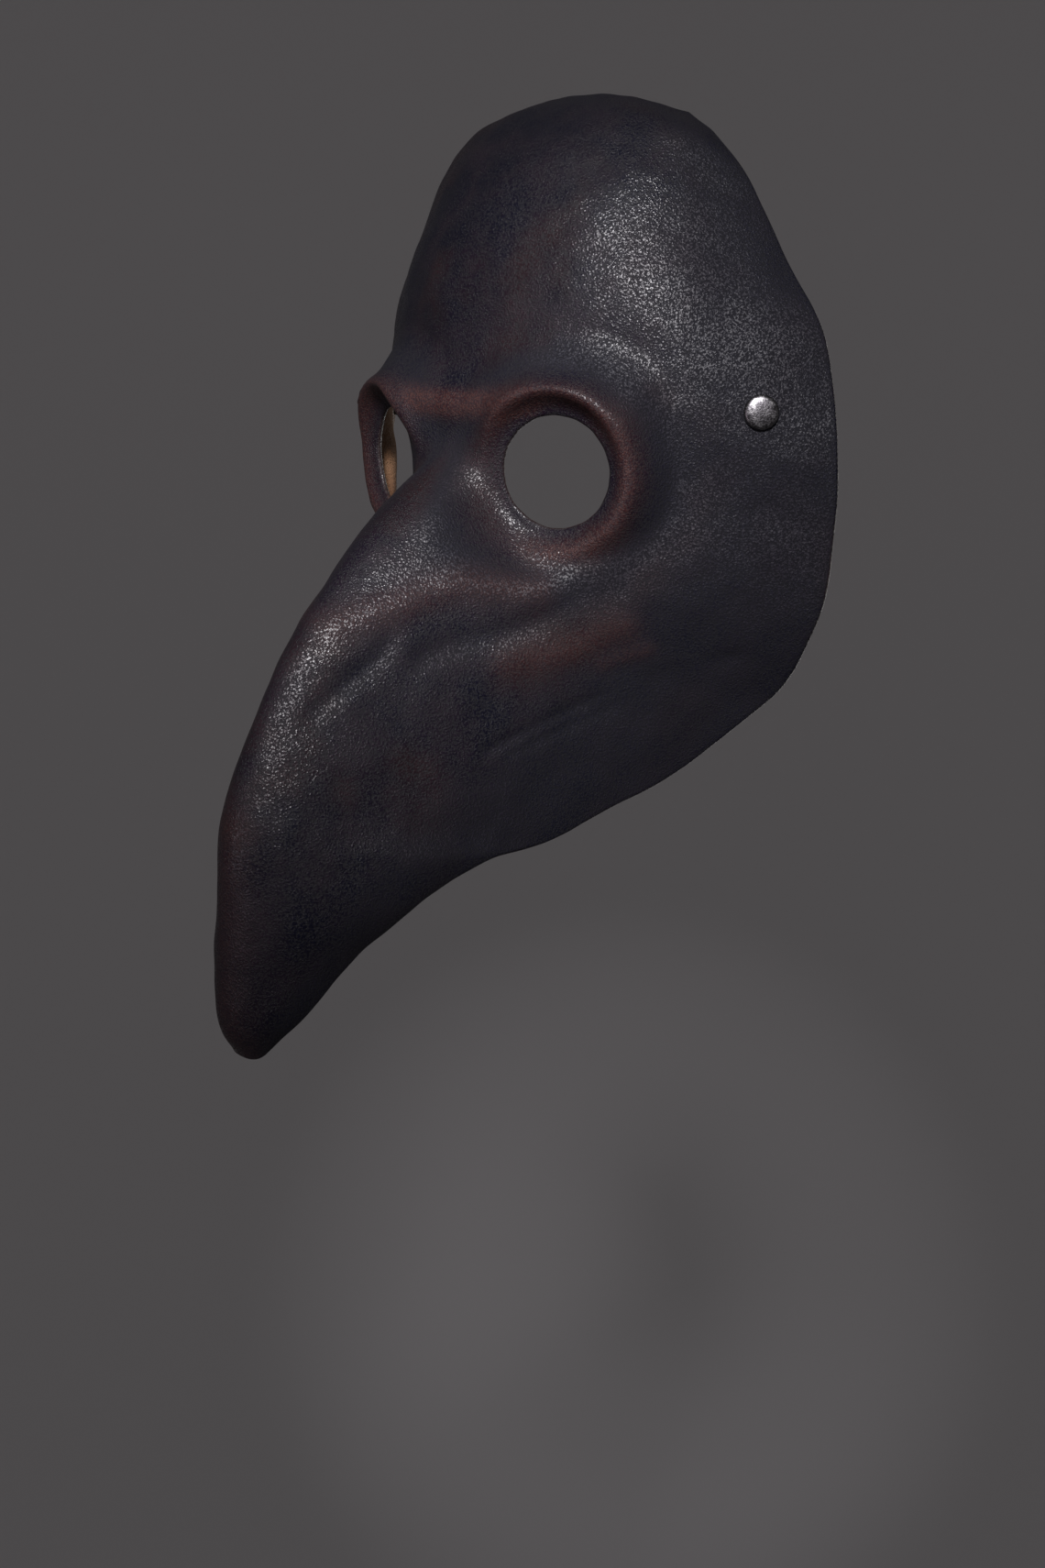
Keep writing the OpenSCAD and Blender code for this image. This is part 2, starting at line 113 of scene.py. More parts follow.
def unit(v):
    return v / np.linalg.norm(v, axis=-1, keepdims=True)


def eye_frame(side):
    out = np.array([side * math.sin(EYE_SPLAY) * math.cos(EYE_TILT),
                    -math.cos(EYE_SPLAY) * math.cos(EYE_TILT), -math.sin(EYE_TILT)])
    right = unit(np.cross([0, 0, 1], out))
    return np.array([side * EYE_X, 0, 0]), right, np.cross(out, right), out


def around_eye(q, side, right, up):
    """How far points are from the middle of an eye, and how far outwards and upwards of it."""
    r = np.hypot(q @ right, q @ up)
    return r, side * (q @ right) / np.maximum(r, 1e-6), (q @ up) / np.maximum(r, 1e-6)


def brow_share(upward):
    return fade((upward - 0.1) / 0.8)


def nose_share(outward):
    return fade((0.1 - outward) / 0.9)


def rim_profile(r, outward, upward):
    """The rolled rim dies away towards the nose, and is higher and further out under the brow."""
    brow = brow_share(upward)
    tall = RIM_HEIGHT * (1 - RIM_FALL * nose_share(outward) * (1 - brow)) * (1 + BROW_TALL * brow)
    return tall * np.exp(-((r - RIM_CREST - BROW_OUT * brow) / RIM_BROAD) ** 2)


def rolled_rim(point, side):
    centre, right, up, out = eye_frame(side)
    q = point - centre
    h = q @ out
    r, outward, upward = around_eye(q, side, right, up)
    start = RIM_CREST + 1 - 6 * fade((h + 4) / 8)
    end = RIM_END + BROW_REACH * fade((upward - 0.3) / 0.5)
    keep = 1 - fade((r - start) / (end - start))
    return point + (keep * (rim_profile(r, outward, upward) - h))[..., None] * out


def outer_face(s, p):
    point = body_face(s, p)
    return np.where((p < 0)[..., None], rolled_rim(point, -1), rolled_rim(point, 1))


# Both long edges are cut by hand, so they wander by a millimetre or so
s_grid, p_grid = np.meshgrid(np.arange(ROWS + 1) * 16 / ROWS, np.arange(-HALF, HALF + 1) / HALF,
                             indexing="ij")
hand = np.sign(p_grid)
wander = WANDER * (np.sin(2.3 * s_grid + 0.6 * hand) + np.sin(5.1 * s_grid + 1.7 * hand))
wander = wander * fade((s_grid - 7.5) / 1.5) * fade((15.5 - s_grid) / 1.5)
p_grid = p_grid * (1 + wander * np.abs(p_grid) ** 3)
# The crown's corners are rounded off
p_grid = p_grid * (1 - CORNER * np.clip(1 - s_grid / 1.3, 0, 1) ** 2)

# Round the grid off into circles about each eye, by moving its points within the surface
EYE_BLOCK_I, EYE_BLOCK_J = 15, 14
eye_blocks = {}
for side in (-1, 1):
    centre, right, up, out = eye_frame(side)

    def in_eye_plane(s, p):
        q = body_face(s, p) - centre
        return np.stack([q @ right, q @ up], -1)

    here = in_eye_plane(s_grid, p_grid)
    ic, jc = np.unravel_index(np.argmin(np.hypot(here[..., 0], here[..., 1])), s_grid.shape)
    a = (np.arange(ROWS + 1)[:, None] - ic) / EYE_BLOCK_I + 0 * p_grid
    b = (np.arange(2 * HALF + 1)[None, :] - jc) / EYE_BLOCK_J + 0 * p_grid
    ring = np.maximum(np.abs(a), np.abs(b))
    near = ring < 2.0
    size = RING * ring / np.maximum(np.hypot(a, b), 1e-9)
    goal = np.stack([b * size, -a * size], -1)
    goal = here + (1 - fade((ring - 1) / 1.0))[..., None] * (goal - here)
    s, p, aim = s_grid[near], p_grid[near], goal[near]
    for _ in range(12):
        miss = in_eye_plane(s, p) - aim
        ds = (in_eye_plane(s + 1e-3, p) - in_eye_plane(s - 1e-3, p)) / 2e-3
        dp = (in_eye_plane(s, p + 1e-4) - in_eye_plane(s, p - 1e-4)) / 2e-4
        det = ds[:, 0] * dp[:, 1] - ds[:, 1] * dp[:, 0]
        s = s - np.clip((miss[:, 0] * dp[:, 1] - miss[:, 1] * dp[:, 0]) / det, -0.4, 0.4)
        p = p - np.clip((ds[:, 0] * miss[:, 1] - ds[:, 1] * miss[:, 0]) / det, -0.05, 0.05)
    s_grid[near], p_grid[near] = s, p
    eye_blocks[side] = (ic - EYE_BLOCK_I, ic + EYE_BLOCK_I, jc - EYE_BLOCK_J, jc + EYE_BLOCK_J)

outer = outer_face(s_grid, p_grid)


def grid_normals(g):
    return unit(np.cross(np.gradient(g, axis=0), np.gradient(g, axis=1)))


def face_normals(s, p):
    side = np.where(p < 0, -1, 1)

    def at(s, p):
        point = body_face(s, p)
        return np.where((side < 0)[..., None], rolled_rim(point, -1), rolled_rim(point, 1))
    return unit(np.cross(at(s + 0.02, p) - at(s - 0.02, p), at(s, p + 0.004) - at(s, p - 0.004)))


# Folds and tool marks pressed into the wet leather: a path over the face, how broad, how high
FOLDS = [
    ([(8, -62, -42), (25, -29, -32), (40, -11, -34)], 4.6, 0.9),
    ([(24, -42, -52), (38, -15, -46), (56, 8, -34)], 3.6, -1.0),
    ([(36, -20, -56), (44, -6, -54), (56, 10, -47)], 4.5, 0.9),
    ([(12, -74, -66), (18, -52, -50)], 3.0, -0.8),
    ([(52, 6, -58), (60, 17, -54)], 2.2, 0.7),
    ([(35, -27, -82), (47, 1, -71), (62, 21, -62), (78, 38, -57)], 1.3, -0.9),
    ([(36, -22, -85), (48, 3, -75), (62, 22, -66), (76, 36, -61)], 1.2, -0.7),
    ([(31, -7, 21), (10, -9, 20), (-10, -9, 20), (-31, -7, 21)], 3.0, 0.7),
]


def near_path(points, path):
    turns = np.array(path, float)
    t = np.linspace(0, len(turns) - 1, 60)
    fine = np.stack([np.interp(t, range(len(turns)), turns[:, k]) for k in range(3)], -1)
    best = np.full(points.shape[:-1], 1e9)
    for q in fine:
        best = np.minimum(best, ((points - q) ** 2).sum(-1))
    return np.sqrt(best)


normal = face_normals(s_grid, p_grid)
relief = np.zeros(outer.shape[:2])
for path, broad, high in FOLDS:
    for mirror in (1, -1):
        if mirror == -1 and path[0][0] * path[-1][0] < 0:
            continue
        turned = [(x * mirror, y, z) for x, y, z in path]
        relief += high * np.exp(-(near_path(outer, turned) / broad) ** 2)
flat = outer.reshape(-1, 3)
lumps = np.array([noise.noise(Vector(q) * 0.045) * 0.9
                  + noise.noise(Vector(q) * 0.13 + Vector((7, 3, 1))) * 0.3
                  for q in flat]).reshape(relief.shape)
calm = np.ones(relief.shape)
eye_radius = {}
for side in (-1, 1):
    centre, right, up, out = eye_frame(side)
    q = outer - centre
    r = np.hypot(q @ right, q @ up) + 1e3 * (np.sign(p_grid) * side < 0)
    eye_radius[side] = r
    calm *= fade((r - RING - 1) / 8)
    seat = outer_face(np.array(RIVET_S), np.array(side * RIVET_P))
    calm *= fade((np.linalg.norm(outer - seat, axis=-1) - 8) / 10)
outer = outer + ((relief + lumps) * calm)[..., None] * normal
border = np.minimum(np.minimum(s_grid, 16 - s_grid) * 2, (1 - np.abs(p_grid)) * 20)
blend = (calm * fade(border))[..., None]
normal = unit(normal * (1 - blend) + grid_normals(outer) * blend)
inner = outer - LEATHER * normal

# Weave the two faces, then the round rings of each eye hole, then the rounded cut edge
verts, quads, tone = [], [], []


def add(points, kind):
    start = len(verts)
    verts.extend(np.asarray(points).reshape(-1, 3))
    tone.extend([kind] * (len(verts) - start))
    return start


span = 2 * HALF + 1
top, under = add(outer, (0, 0)), add(inner, (0, 1))
for r in eye_radius.values():
    for k in np.flatnonzero(r.ravel() < 26):
        tone[under + k] = (0, 0.3 + 0.7 * fade((r.ravel()[k] - RING) / 6))
for i in range(ROWS):
    for j in range(2 * HALF):
        if any(i0 <= i < i1 and j0 <= j < j1 for i0, i1, j0, j1 in eye_blocks.values()):
            continue
        a = i * span + j
        quads.append((top + a, top + a + 1, top + a + span + 1, top + a + span))
        quads.append((under + a, under + a + span, under + a + span + 1, under + a + 1))


def join_loops(one, two):
    n = len(one)
    for k in range(n):
        quads.append((one[k], one[(k + 1) % n], two[(k + 1) % n], two[k]))


# The skived lip of an eye hole: radius, depth below the rim, share of cut edge and of raw leather
LIP = [(18.9, 0.0, 0, 0), (18.3, 0.0, 0, 0), (17.85, 0.08, 0, 0), (17.5, 0.28, 0.3, 0),
       (17.28, 0.6, 1, 0), (17.22, 0.95, 1, 0), (17.35, 1.3, 1, 0), (17.75, 1.75, 1, 0),
       (18.35, 2.3, 1, 0), (19.0, 2.8, 1, 0.15)]
for side, (i0, i1, j0, j1) in eye_blocks.items():
    centre, right, up, out = eye_frame(side)
    path = ([(i0, j) for j in range(j0, j1)] + [(i, j1) for i in range(i0, i1)]
            + [(i1, j) for j in range(j1, j0, -1)] + [(i, j0) for i in range(i1, i0, -1)])
    index = np.array([i * span + j for i, j in path])
    q = outer.reshape(-1, 3)[index] - centre
    turn = np.arctan2(q @ up, q @ right)
    loop = [top + k for k in index]
    for r, sink, cut, raw in LIP:
        rough = 1 + 0.004 * np.sin(7 * turn + side) + 0.003 * np.sin(17 * turn)
        points = (centre + (r * rough * np.cos(turn))[:, None] * right
                  + (r * rough * np.sin(turn))[:, None] * up
                  + (rim_profile(r, side * np.cos(turn), np.sin(turn)) - sink)[:, None] * out)
        start = add(points, (cut, raw))
        ring = list(range(start, start + len(index)))
        join_loops(loop, ring)
        loop = ring
    far = inner.reshape(-1, 3)[index]
    lip = np.array(verts[loop[0]:loop[0] + len(index)])
    for t in (0.35, 0.7):
        start = add(lip + (far - lip) * t, (0.6 - 0.6 * t, 0.4 + 0.6 * t))
        ring = list(range(start, start + len(index)))
        join_loops(loop, ring)
        loop = ring
    join_loops(loop, [under + k for k in index])

edge = ([(0, j) for j in range(2 * HALF)] + [(i, 2 * HALF) for i in range(ROWS)]
        + [(ROWS, j) for j in range(2 * HALF, 0, -1)] + [(i, 0) for i in range(ROWS, 0, -1)])
index = np.array([i * span + j for i, j in edge])
one, two = outer.reshape(-1, 3)[index], inner.reshape(-1, 3)[index]
along = np.roll(one, -2, axis=0) - np.roll(one, 2, axis=0)
away = unit(np.cross(one - two, along))
loop = [top + k for k in index]
for k in range(1, 6):
    turn = math.pi * k / 6
    points = (one + two) / 2 + (one - two) / 2 * math.cos(turn) + away * 1.0 * math.sin(turn)
    start = add(points, (float(k > 1), 0.5 * (k > 4)))
    ring = list(range(start, start + len(index)))
    join_loops(ring, loop)
    loop = ring
join_loops([under + k for k in index], loop)


def skin_over(name, points, faces, smooth=True):
    mesh = bpy.data.meshes.new(name)
    mesh.from_pydata([tuple(float(x) * 0.001 for x in q) for q in points], [], faces)
    mesh.polygons.foreach_set("use_smooth", [smooth] * len(mesh.polygons))
    piece = bpy.data.objects.new(name, mesh)
    bpy.context.scene.collection.objects.link(piece)
    return piece


face = skin_over("mask_face", verts, quads)

# Where the dye is rubbed back (on crests and edges), and where shade is painted in as darker dye (in
# hollows, grooves and the valleys round the eyes)
points = np.array(verts)
rub, painted_shade = np.zeros(len(points)), np.zeros(len(points))
for side in (-1, 1):
    centre, right, up, out = eye_frame(side)
    q = points - centre
    h = q @ out
    r, outward, upward = around_eye(q, side, right, up)
    near_nose = nose_share(outward) * (1 - brow_share(upward))
    rub += np.exp(-((r - RIM_CREST) / 3.4) ** 2) * (h > -4) * (1 - 0.85 * near_nose)
    # Painted shade in the valley outside each eye ring
    painted_shade += np.exp(-((r - 34) / 5) ** 2) * (h > -25)
rub += 0.8 * np.exp(-(near_path(points, [(31, -7, 21), (0, -10, 20), (-31, -7, 21)]) / 4) ** 2)
tone = np.array(tone, float)
# Painted shade towards the side edges and over the top of the crown
edge_shade = fade((np.abs(p_grid) - 0.56 + 0.012 * lumps) / 0.2) + fade((2.0 - s_grid) / 1.8)
painted_shade[:edge_shade.size] += 0.85 * edge_shade.ravel()
# Raised folds are rubbed back; sunken folds get painted shade along their grooves
for path, broad, high in FOLDS:
    for mirror in (1, -1):
        d = near_path(points, [(x * mirror, y, z) for x, y, z in path])
        (rub if high > 0 else painted_shade)[:] += min(abs(high), 1) * 0.6 * np.exp(-(d / (1.2 * broad)) ** 2)
rub += 0.45 * np.exp(-(near_path(points, [(0, -98, -100), (0, -104, -140), (0, -97, -168)]) / 9) ** 2)
for name, values in (("rub", rub), ("painted_shade", painted_shade), ("cut", tone[:, 0]), ("raw", tone[:, 1])):
    layer = face.data.attributes.new(name, "FLOAT", "POINT")
    layer.data.foreach_set("value", np.clip(values, 0, 1).astype(np.float32))


def node(tree, kind, sockets=(), **settings):
    made = tree.nodes.new(kind)
    for key, value in settings.items():
        setattr(made, key, value)
    for key, value in dict(sockets).items():
        if isinstance(value, bpy.types.NodeSocket):
            tree.links.new(value, made.inputs[key])
        else:
            made.inputs[key].default_value = value
    return made


def maths(tree, how, *values):
    return node(tree, "ShaderNodeMath", dict(enumerate(values)), operation=how).outputs[0]


def mix(tree, share, one, two):
    return node(tree, "ShaderNodeMix", {0: share, 6: one, 7: two}, data_type="RGBA").outputs[2]


def ramp(tree, value, low, high):
    return node(tree, "ShaderNodeMapRange", {"Value": value, "From Min": low, "From Max": high},
                interpolation_type="SMOOTHSTEP").outputs[0]


def cloudy(tree, vector, scale, detail, rough=0.5):
    return node(tree, "ShaderNodeTexNoise",
                {"Vector": vector, "Scale": scale, "Detail": detail, "Roughness": rough})


def bumpy(tree, shader, height, strength, distance):
    bump = node(tree, "ShaderNodeBump", {"Height": height, "Strength": strength, "Distance": distance})
    tree.links.new(bump.outputs[0], shader.inputs["Normal"])


def group(name, inputs, outputs, kind="ShaderNodeTree"):
    tree = bpy.data.node_groups.new(name, kind)
    for label, what, start in inputs:
        socket = tree.interface.new_socket(label, in_out="INPUT", socket_type=what)
        if start is not None:
            socket.default_value = start
    for label, what in outputs:
        tree.interface.new_socket(label, in_out="OUTPUT", socket_type=what)
    return tree, tree.nodes.new("NodeGroupInput").outputs, tree.nodes.new("NodeGroupOutput").inputs


# Leather grain: pebbles a millimetre across, split by fine creases, broken up by larger patches
grain, given, gives = group("leather_grain",
    [("Vector", "NodeSocketVector", None), ("Pebble", "NodeSocketFloat", 1100.0),
     ("Crease", "NodeSocketFloat", 0.5)],
    [("Height", "NodeSocketFloat"), ("Pebbles", "NodeSocketFloat"), ("Patches", "NodeSocketFloat"),
     ("Pits", "NodeSocketFloat")])
warp = cloudy(grain, given["Vector"], 420.0, 2.0)
bent = node(grain, "ShaderNodeVectorMath", {0: warp.outputs["Color"], 1: (0.0012, 0.0012, 0.0012)},
            operation="MULTIPLY").outputs[0]
bent = node(grain, "ShaderNodeVectorMath", {0: given["Vector"], 1: bent},
            operation="ADD").outputs[0]
cells = node(grain, "ShaderNodeTexVoronoi", {"Vector": bent, "Scale": given["Pebble"], "Randomness": 0.9},
             feature="F1")
pebble = maths(grain, "SUBTRACT", 1.0, ramp(grain, cells.outputs["Distance"], 0.0, 0.75))
lines = node(grain, "ShaderNodeTexVoronoi", {"Vector": bent, "Scale": 420.0, "Randomness": 1.0},
             feature="DISTANCE_TO_EDGE")
crack = maths(grain, "MULTIPLY", ramp(grain, lines.outputs["Distance"], 0.0, 0.09), given["Crease"])
mottle = cloudy(grain, given["Vector"], 55.0, 5.0, 0.6)
fine = cloudy(grain, given["Vector"], 1500.0, 2.0, 0.7)
pits = ramp(grain, fine.outputs[0], 0.54, 0.44)
grain.links.new(pits, gives["Pits"])
tall = maths(grain, "ADD", maths(grain, "MULTIPLY", pebble, 0.6), crack)
tall = maths(grain, "SUBTRACT", tall, maths(grain, "MULTIPLY", pits, 0.55))
tall = maths(grain, "ADD", tall, maths(grain, "MULTIPLY", mottle.outputs[0], 0.5))
grain.links.new(tall, gives["Height"])
grain.links.new(pebble, gives["Pebbles"])
grain.links.new(ramp(grain, mottle.outputs[0], 0.35, 0.68), gives["Patches"])


def use(tree, made, **values):
    placed = node(tree, "ShaderNodeGroup", node_tree=made)
    for key, value in values.items():
        if isinstance(value, bpy.types.NodeSocket):
            tree.links.new(value, placed.inputs[key])
        else:
            placed.inputs[key].default_value = value
    return placed.outputs


def finish(name):
    material = bpy.data.materials.new(name)
    material.use_nodes = True
    tree = material.node_tree
    return material, tree, tree.nodes["Principled BSDF"], node(tree, "ShaderNodeTexCoord").outputs["Object"]


def mark(tree, name):
    return node(tree, "ShaderNodeAttribute", attribute_name=name, attribute_type="GEOMETRY").outputs["Fac"]


dyed, tree, shader, place = finish("dyed_mask_leather")
skin = use(tree, grain, Vector=place, Pebble=1350.0, Crease=0.10)
large = cloudy(tree, place, 17.0, 4.0, 0.55)
blotch = ramp(tree, large.outputs[0], 0.46, 0.66)
colour = mix(tree, blotch, (0.0014, 0.0014, 0.0045, 1), (0.0090, 0.0038, 0.0042, 1))
colour = mix(tree, maths(tree, "MULTIPLY", skin["Patches"], 0.35), colour, (0.0125, 0.0060, 0.0080, 1))
# Painted shade: darker blue-black in the hollows, grooves and eye valleys, along the side edges and over
# the crown
colour = mix(tree, maths(tree, "MULTIPLY", mark(tree, "painted_shade"), 0.8), colour, (0.0025, 0.0025, 0.0055, 1))
colour = mix(tree, maths(tree, "MULTIPLY", skin["Pits"], 0.75), colour, (0.0012, 0.0012, 0.0022, 1))
worn = maths(tree, "ADD", 0.35, maths(tree, "MULTIPLY", skin["Pebbles"], 0.75))
worn = maths(tree, "MULTIPLY", mark(tree, "rub"), worn)
colour = mix(tree, worn, colour, (0.026, 0.0095, 0.0080, 1))
cut_tan = mix(tree, ramp(tree, large.outputs[0], 0.56, 0.68),
              (0.010, 0.006, 0.006, 1), (0.16, 0.065, 0.026, 1))
colour = mix(tree, mark(tree, "cut"), colour, cut_tan)
flesh = mix(tree, skin["Patches"], (0.115, 0.056, 0.027, 1), (0.175, 0.098, 0.052, 1))
colour = mix(tree, mark(tree, "raw"), colour, flesh)
tree.links.new(colour, shader.inputs["Base Color"])
dull = maths(tree, "ADD", 0.29, maths(tree, "MULTIPLY", skin["Patches"], 0.09))
# The painted-shade places are also rougher
dull = maths(tree, "ADD", dull, maths(tree, "MULTIPLY", mark(tree, "painted_shade"), 0.24))
dull = maths(tree, "ADD", dull, maths(tree, "MULTIPLY", skin["Pits"], 0.40))
dull = maths(tree, "ADD", dull, maths(tree, "MULTIPLY", mark(tree, "raw"), 0.35))
tree.links.new(dull, shader.inputs["Roughness"])
bumpy(tree, shader, skin["Height"], 1.0, 0.00013)
shader.inputs["Specular IOR Level"].default_value = 0.2
face.data.materials.append(dyed)
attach(face, "root")
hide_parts("face_shell")

# ---------------------------------------------------------------------------------------------
# Temple rivets: double-cap rivets of dark nickel-plated steel. Each is set through the shell and
# the tab behind it, with its cap drawn a little way into the leather and a smaller cap inside.
CAP_DIA, CAP_TALL, BACK_DIA, BACK_TALL, POST_DIA = 10.6, 2.4, 9.0, 1.4, 4.0
BACK_POST_DIA, BACK_POST, POST_NIP = POST_DIA - 0.2, 0.5, 0.8
SEAT, TAB_GAP, STRAP_THICK = 0.4, 0.6, 2.2
TAB_DEPTH = LEATHER - SEAT + TAB_GAP

scratched, given, gives = group("plated_wear",
    [("Vector", "NodeSocketVector", None), ("Rim", "NodeSocketFloat", 0.0)],
    [("Worn", "NodeSocketFloat"), ("Fine", "NodeSocketFloat")])
stretch = node(scratched, "ShaderNodeMapping",
               {"Vector": given["Vector"], "Rotation": (0.5, 0.3, 0.9), "Scale": (260, 2600, 2600)})
lines = cloudy(scratched, stretch.outputs[0], 1.0, 2.0)
clouds = cloudy(scratched, given["Vector"], 420.0, 4.0, 0.6)
worn = maths(scratched, "ADD", maths(scratched, "MULTIPLY", given["Rim"], 0.7),
             ramp(scratched, clouds.outputs[0], 0.45, 0.75))
scratched.links.new(node(scratched, "ShaderNodeClamp", {0: worn}).outputs[0], gives["Worn"])
scratched.links.new(ramp(scratched, lines.outputs[0], 0.35, 0.7), gives["Fine"])


def plated(name, dark, bright, low, high):
    made, tree, shader, place = finish(name)
    shader.inputs["Metallic"].default_value = 1.0
    wear = use(tree, scratched, Vector=place, Rim=mark(tree, "rim"))
    tree.links.new(mix(tree, wear["Worn"], dark, bright), shader.inputs["Base Color"])
    dull = node(tree, "ShaderNodeMapRange", {"Value": wear["Fine"], "To Min": low, "To Max": high})
    tree.links.new(dull.outputs[0], shader.inputs["Roughness"])
    bumpy(tree, shader, wear["Fine"], 0.25, 0.00006)
    return made


dark_nickel = plated("dark_nickel", (0.045, 0.043, 0.046, 1), (0.14, 0.137, 0.14, 1), 0.26, 0.46)

domed, given, gives = group("domed_rivet",
    [("Geometry", "NodeSocketGeometry", None), ("Cap Diameter", "NodeSocketFloat", 0.0106),
     ("Cap Height", "NodeSocketFloat", 0.0024), ("Post Diameter", "NodeSocketFloat", 0.004),
     ("Post Length", "NodeSocketFloat", 0.004), ("Metal", "NodeSocketMaterial", None)],
    [("Geometry", "NodeSocketGeometry")], "GeometryNodeTree")
sheet = node(domed, "GeometryNodeMeshGrid",
             {"Size X": 1.0, "Size Y": 1.0, "Vertices X": 57, "Vertices Y": 30})
spread = node(domed, "ShaderNodeSeparateXYZ",
              {0: node(domed, "GeometryNodeInputPosition").outputs[0]})
along = maths(domed, "ADD", spread.outputs[1], 0.5)
turn = maths(domed, "MULTIPLY", maths(domed, "ADD", spread.outputs[0], 0.5), math.tau)


def drawn(tree, value, knots):
    curve = node(tree, "ShaderNodeFloatCurve", {"Value": value})
    line = curve.mapping.curves[0]
    for x, y in knots[1:-1]:
        line.points.new(x, y)
    line.points[0].location, line.points[-1].location = knots[0], knots[-1]
    curve.mapping.update()
    return curve.outputs[0]


# From the middle of the dome, out over its edge and back under it: share of radius, and of height
reach = drawn(domed, along, [(0, 0), (0.2, 0.34), (0.4, 0.66), (0.55, 0.85), (0.66, 0.96), (0.74, 1),
                             (0.82, 0.98), (0.88, 0.92), (1, 0)])
lift = drawn(domed, along, [(0, 1), (0.2, 0.98), (0.4, 0.92), (0.55, 0.83), (0.66, 0.66),
                            (0.74, 0.36), (0.82, 0.08), (0.88, 0), (1, 0)])
radius = maths(domed, "MULTIPLY", reach, maths(domed, "MULTIPLY", given["Cap Diameter"], 0.5))
spot = node(domed, "ShaderNodeCombineXYZ",
            {0: maths(domed, "MULTIPLY", radius, maths(domed, "COSINE", turn)),
             1: maths(domed, "MULTIPLY", radius, maths(domed, "SINE", turn)),
             2: maths(domed, "MULTIPLY", lift, given["Cap Height"])}).outputs[0]
rim = node(domed, "GeometryNodeStoreNamedAttribute",
           {"Geometry": sheet.outputs[0], "Name": "rim", "Value": ramp(domed, reach, 0.86, 1.0)},
           data_type="FLOAT", domain="POINT")
cap = node(domed, "GeometryNodeSetPosition", {"Geometry": rim.outputs[0], "Position": spot})
cap = node(domed, "GeometryNodeMergeByDistance", {"Geometry": cap.outputs[0], "Distance": 1e-6})
post = node(domed, "GeometryNodeMeshCylinder",
            {"Vertices": 24, "Radius": maths(domed, "MULTIPLY", given["Post Diameter"], 0.5),
             "Depth": given["Post Length"]})
drop = node(domed, "ShaderNodeCombineXYZ", {2: maths(domed, "MULTIPLY", given["Post Length"], -0.48)})
post = node(domed, "GeometryNodeTransform", {"Geometry": post.outputs[0], "Translation": drop.outputs[0]})
rivet = node(domed, "GeometryNodeJoinGeometry", {0: cap.outputs[0]})
domed.links.new(post.outputs[0], rivet.inputs[0])
axis = node(domed, "GeometryNodeInputNamedAttribute", {"Name": "axis"}, data_type="FLOAT_VECTOR")
aim = node(domed, "FunctionNodeAlignRotationToVector", {"Vector": axis.outputs[0]}, axis="Z")
stand = node(domed, "GeometryNodeInstanceOnPoints",
             {"Points": given["Geometry"], "Instance": rivet.outputs[0], "Rotation": aim.outputs[0]})
real = node(domed, "GeometryNodeRealizeInstances", {"Geometry": stand.outputs[0]})
real = node(domed, "GeometryNodeSetShadeSmooth", {"Geometry": real.outputs[0]})
real = node(domed, "GeometryNodeSetMaterial", {"Geometry": real.outputs[0], "Material": given["Metal"]})
domed.links.new(real.outputs[0], gives["Geometry"])


def point_outwards(mesh, sharp=None):
    solid = bmesh.new()
    solid.from_mesh(mesh)
    bmesh.ops.remove_doubles(solid, verts=solid.verts, dist=1e-6)
    bmesh.ops.recalc_face_normals(solid, faces=solid.faces)
    solid.to_mesh(mesh)
    solid.free()
    if sharp:
        mesh.set_sharp_from_angle(angle=math.radians(sharp))


def set_rivets(name, spots, axes, body, nodes, **sizes):
    piece = skin_over(name, spots, [])
    layer = piece.data.attributes.new("axis", "FLOAT_VECTOR", "POINT")
    layer.data.foreach_set("vector", np.array(axes, np.float32).ravel())
    setter = piece.modifiers.new("rivets", "NODES")
    setter.node_group = domed
    sizes = {"Cap Diameter": sizes["cap"] / 1e3, "Cap Height": sizes["tall"] / 1e3,
             "Post Diameter": sizes["post"] / 1e3, "Post Length": sizes["deep"] / 1e3,
             "Metal": dark_nickel}
    for item in domed.interface.items_tree:
        if item.name in sizes:
            setter[item.identifier] = sizes[item.name]
    seen = piece.evaluated_get(bpy.context.evaluated_depsgraph_get())
    solid = bpy.data.meshes.new_from_object(seen)
    piece.modifiers.clear()
    piece.data = solid
    solid.name = name
    point_outwards(solid, 40)
    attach(piece, body)
    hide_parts(*nodes)
    return piece


def both_sides(v):
    return [v, np.array([-v[0], v[1], v[2]])]


def near_rivet(ds, dp):
    return outer_face(np.array(RIVET_S + ds), np.array(RIVET_P + dp))


down = near_rivet(0.1, 0) - near_rivet(-0.1, 0)
over = near_rivet(0, 0.02) - near_rivet(0, -0.02)
rivet_axis = unit(np.cross(down, over))
rivet_point = near_rivet(0, 0)
set_rivets("temple_rivets", both_sides(rivet_point - SEAT * rivet_axis), both_sides(rivet_axis), "root",
           ("temple_rivet_left", "temple_rivet_right"), cap=CAP_DIA, tall=CAP_TALL, post=POST_DIA,
           deep=TAB_DEPTH + STRAP_THICK + POST_NIP)
back_seat = rivet_point - (SEAT + TAB_DEPTH + STRAP_THICK) * rivet_axis
set_rivets("temple_rivet_backs", both_sides(back_seat), both_sides(-rivet_axis), "root",
           ("temple_rivet_back_left", "temple_rivet_back_right"), cap=BACK_DIA, tall=BACK_TALL,
           post=BACK_POST_DIA, deep=BACK_POST)

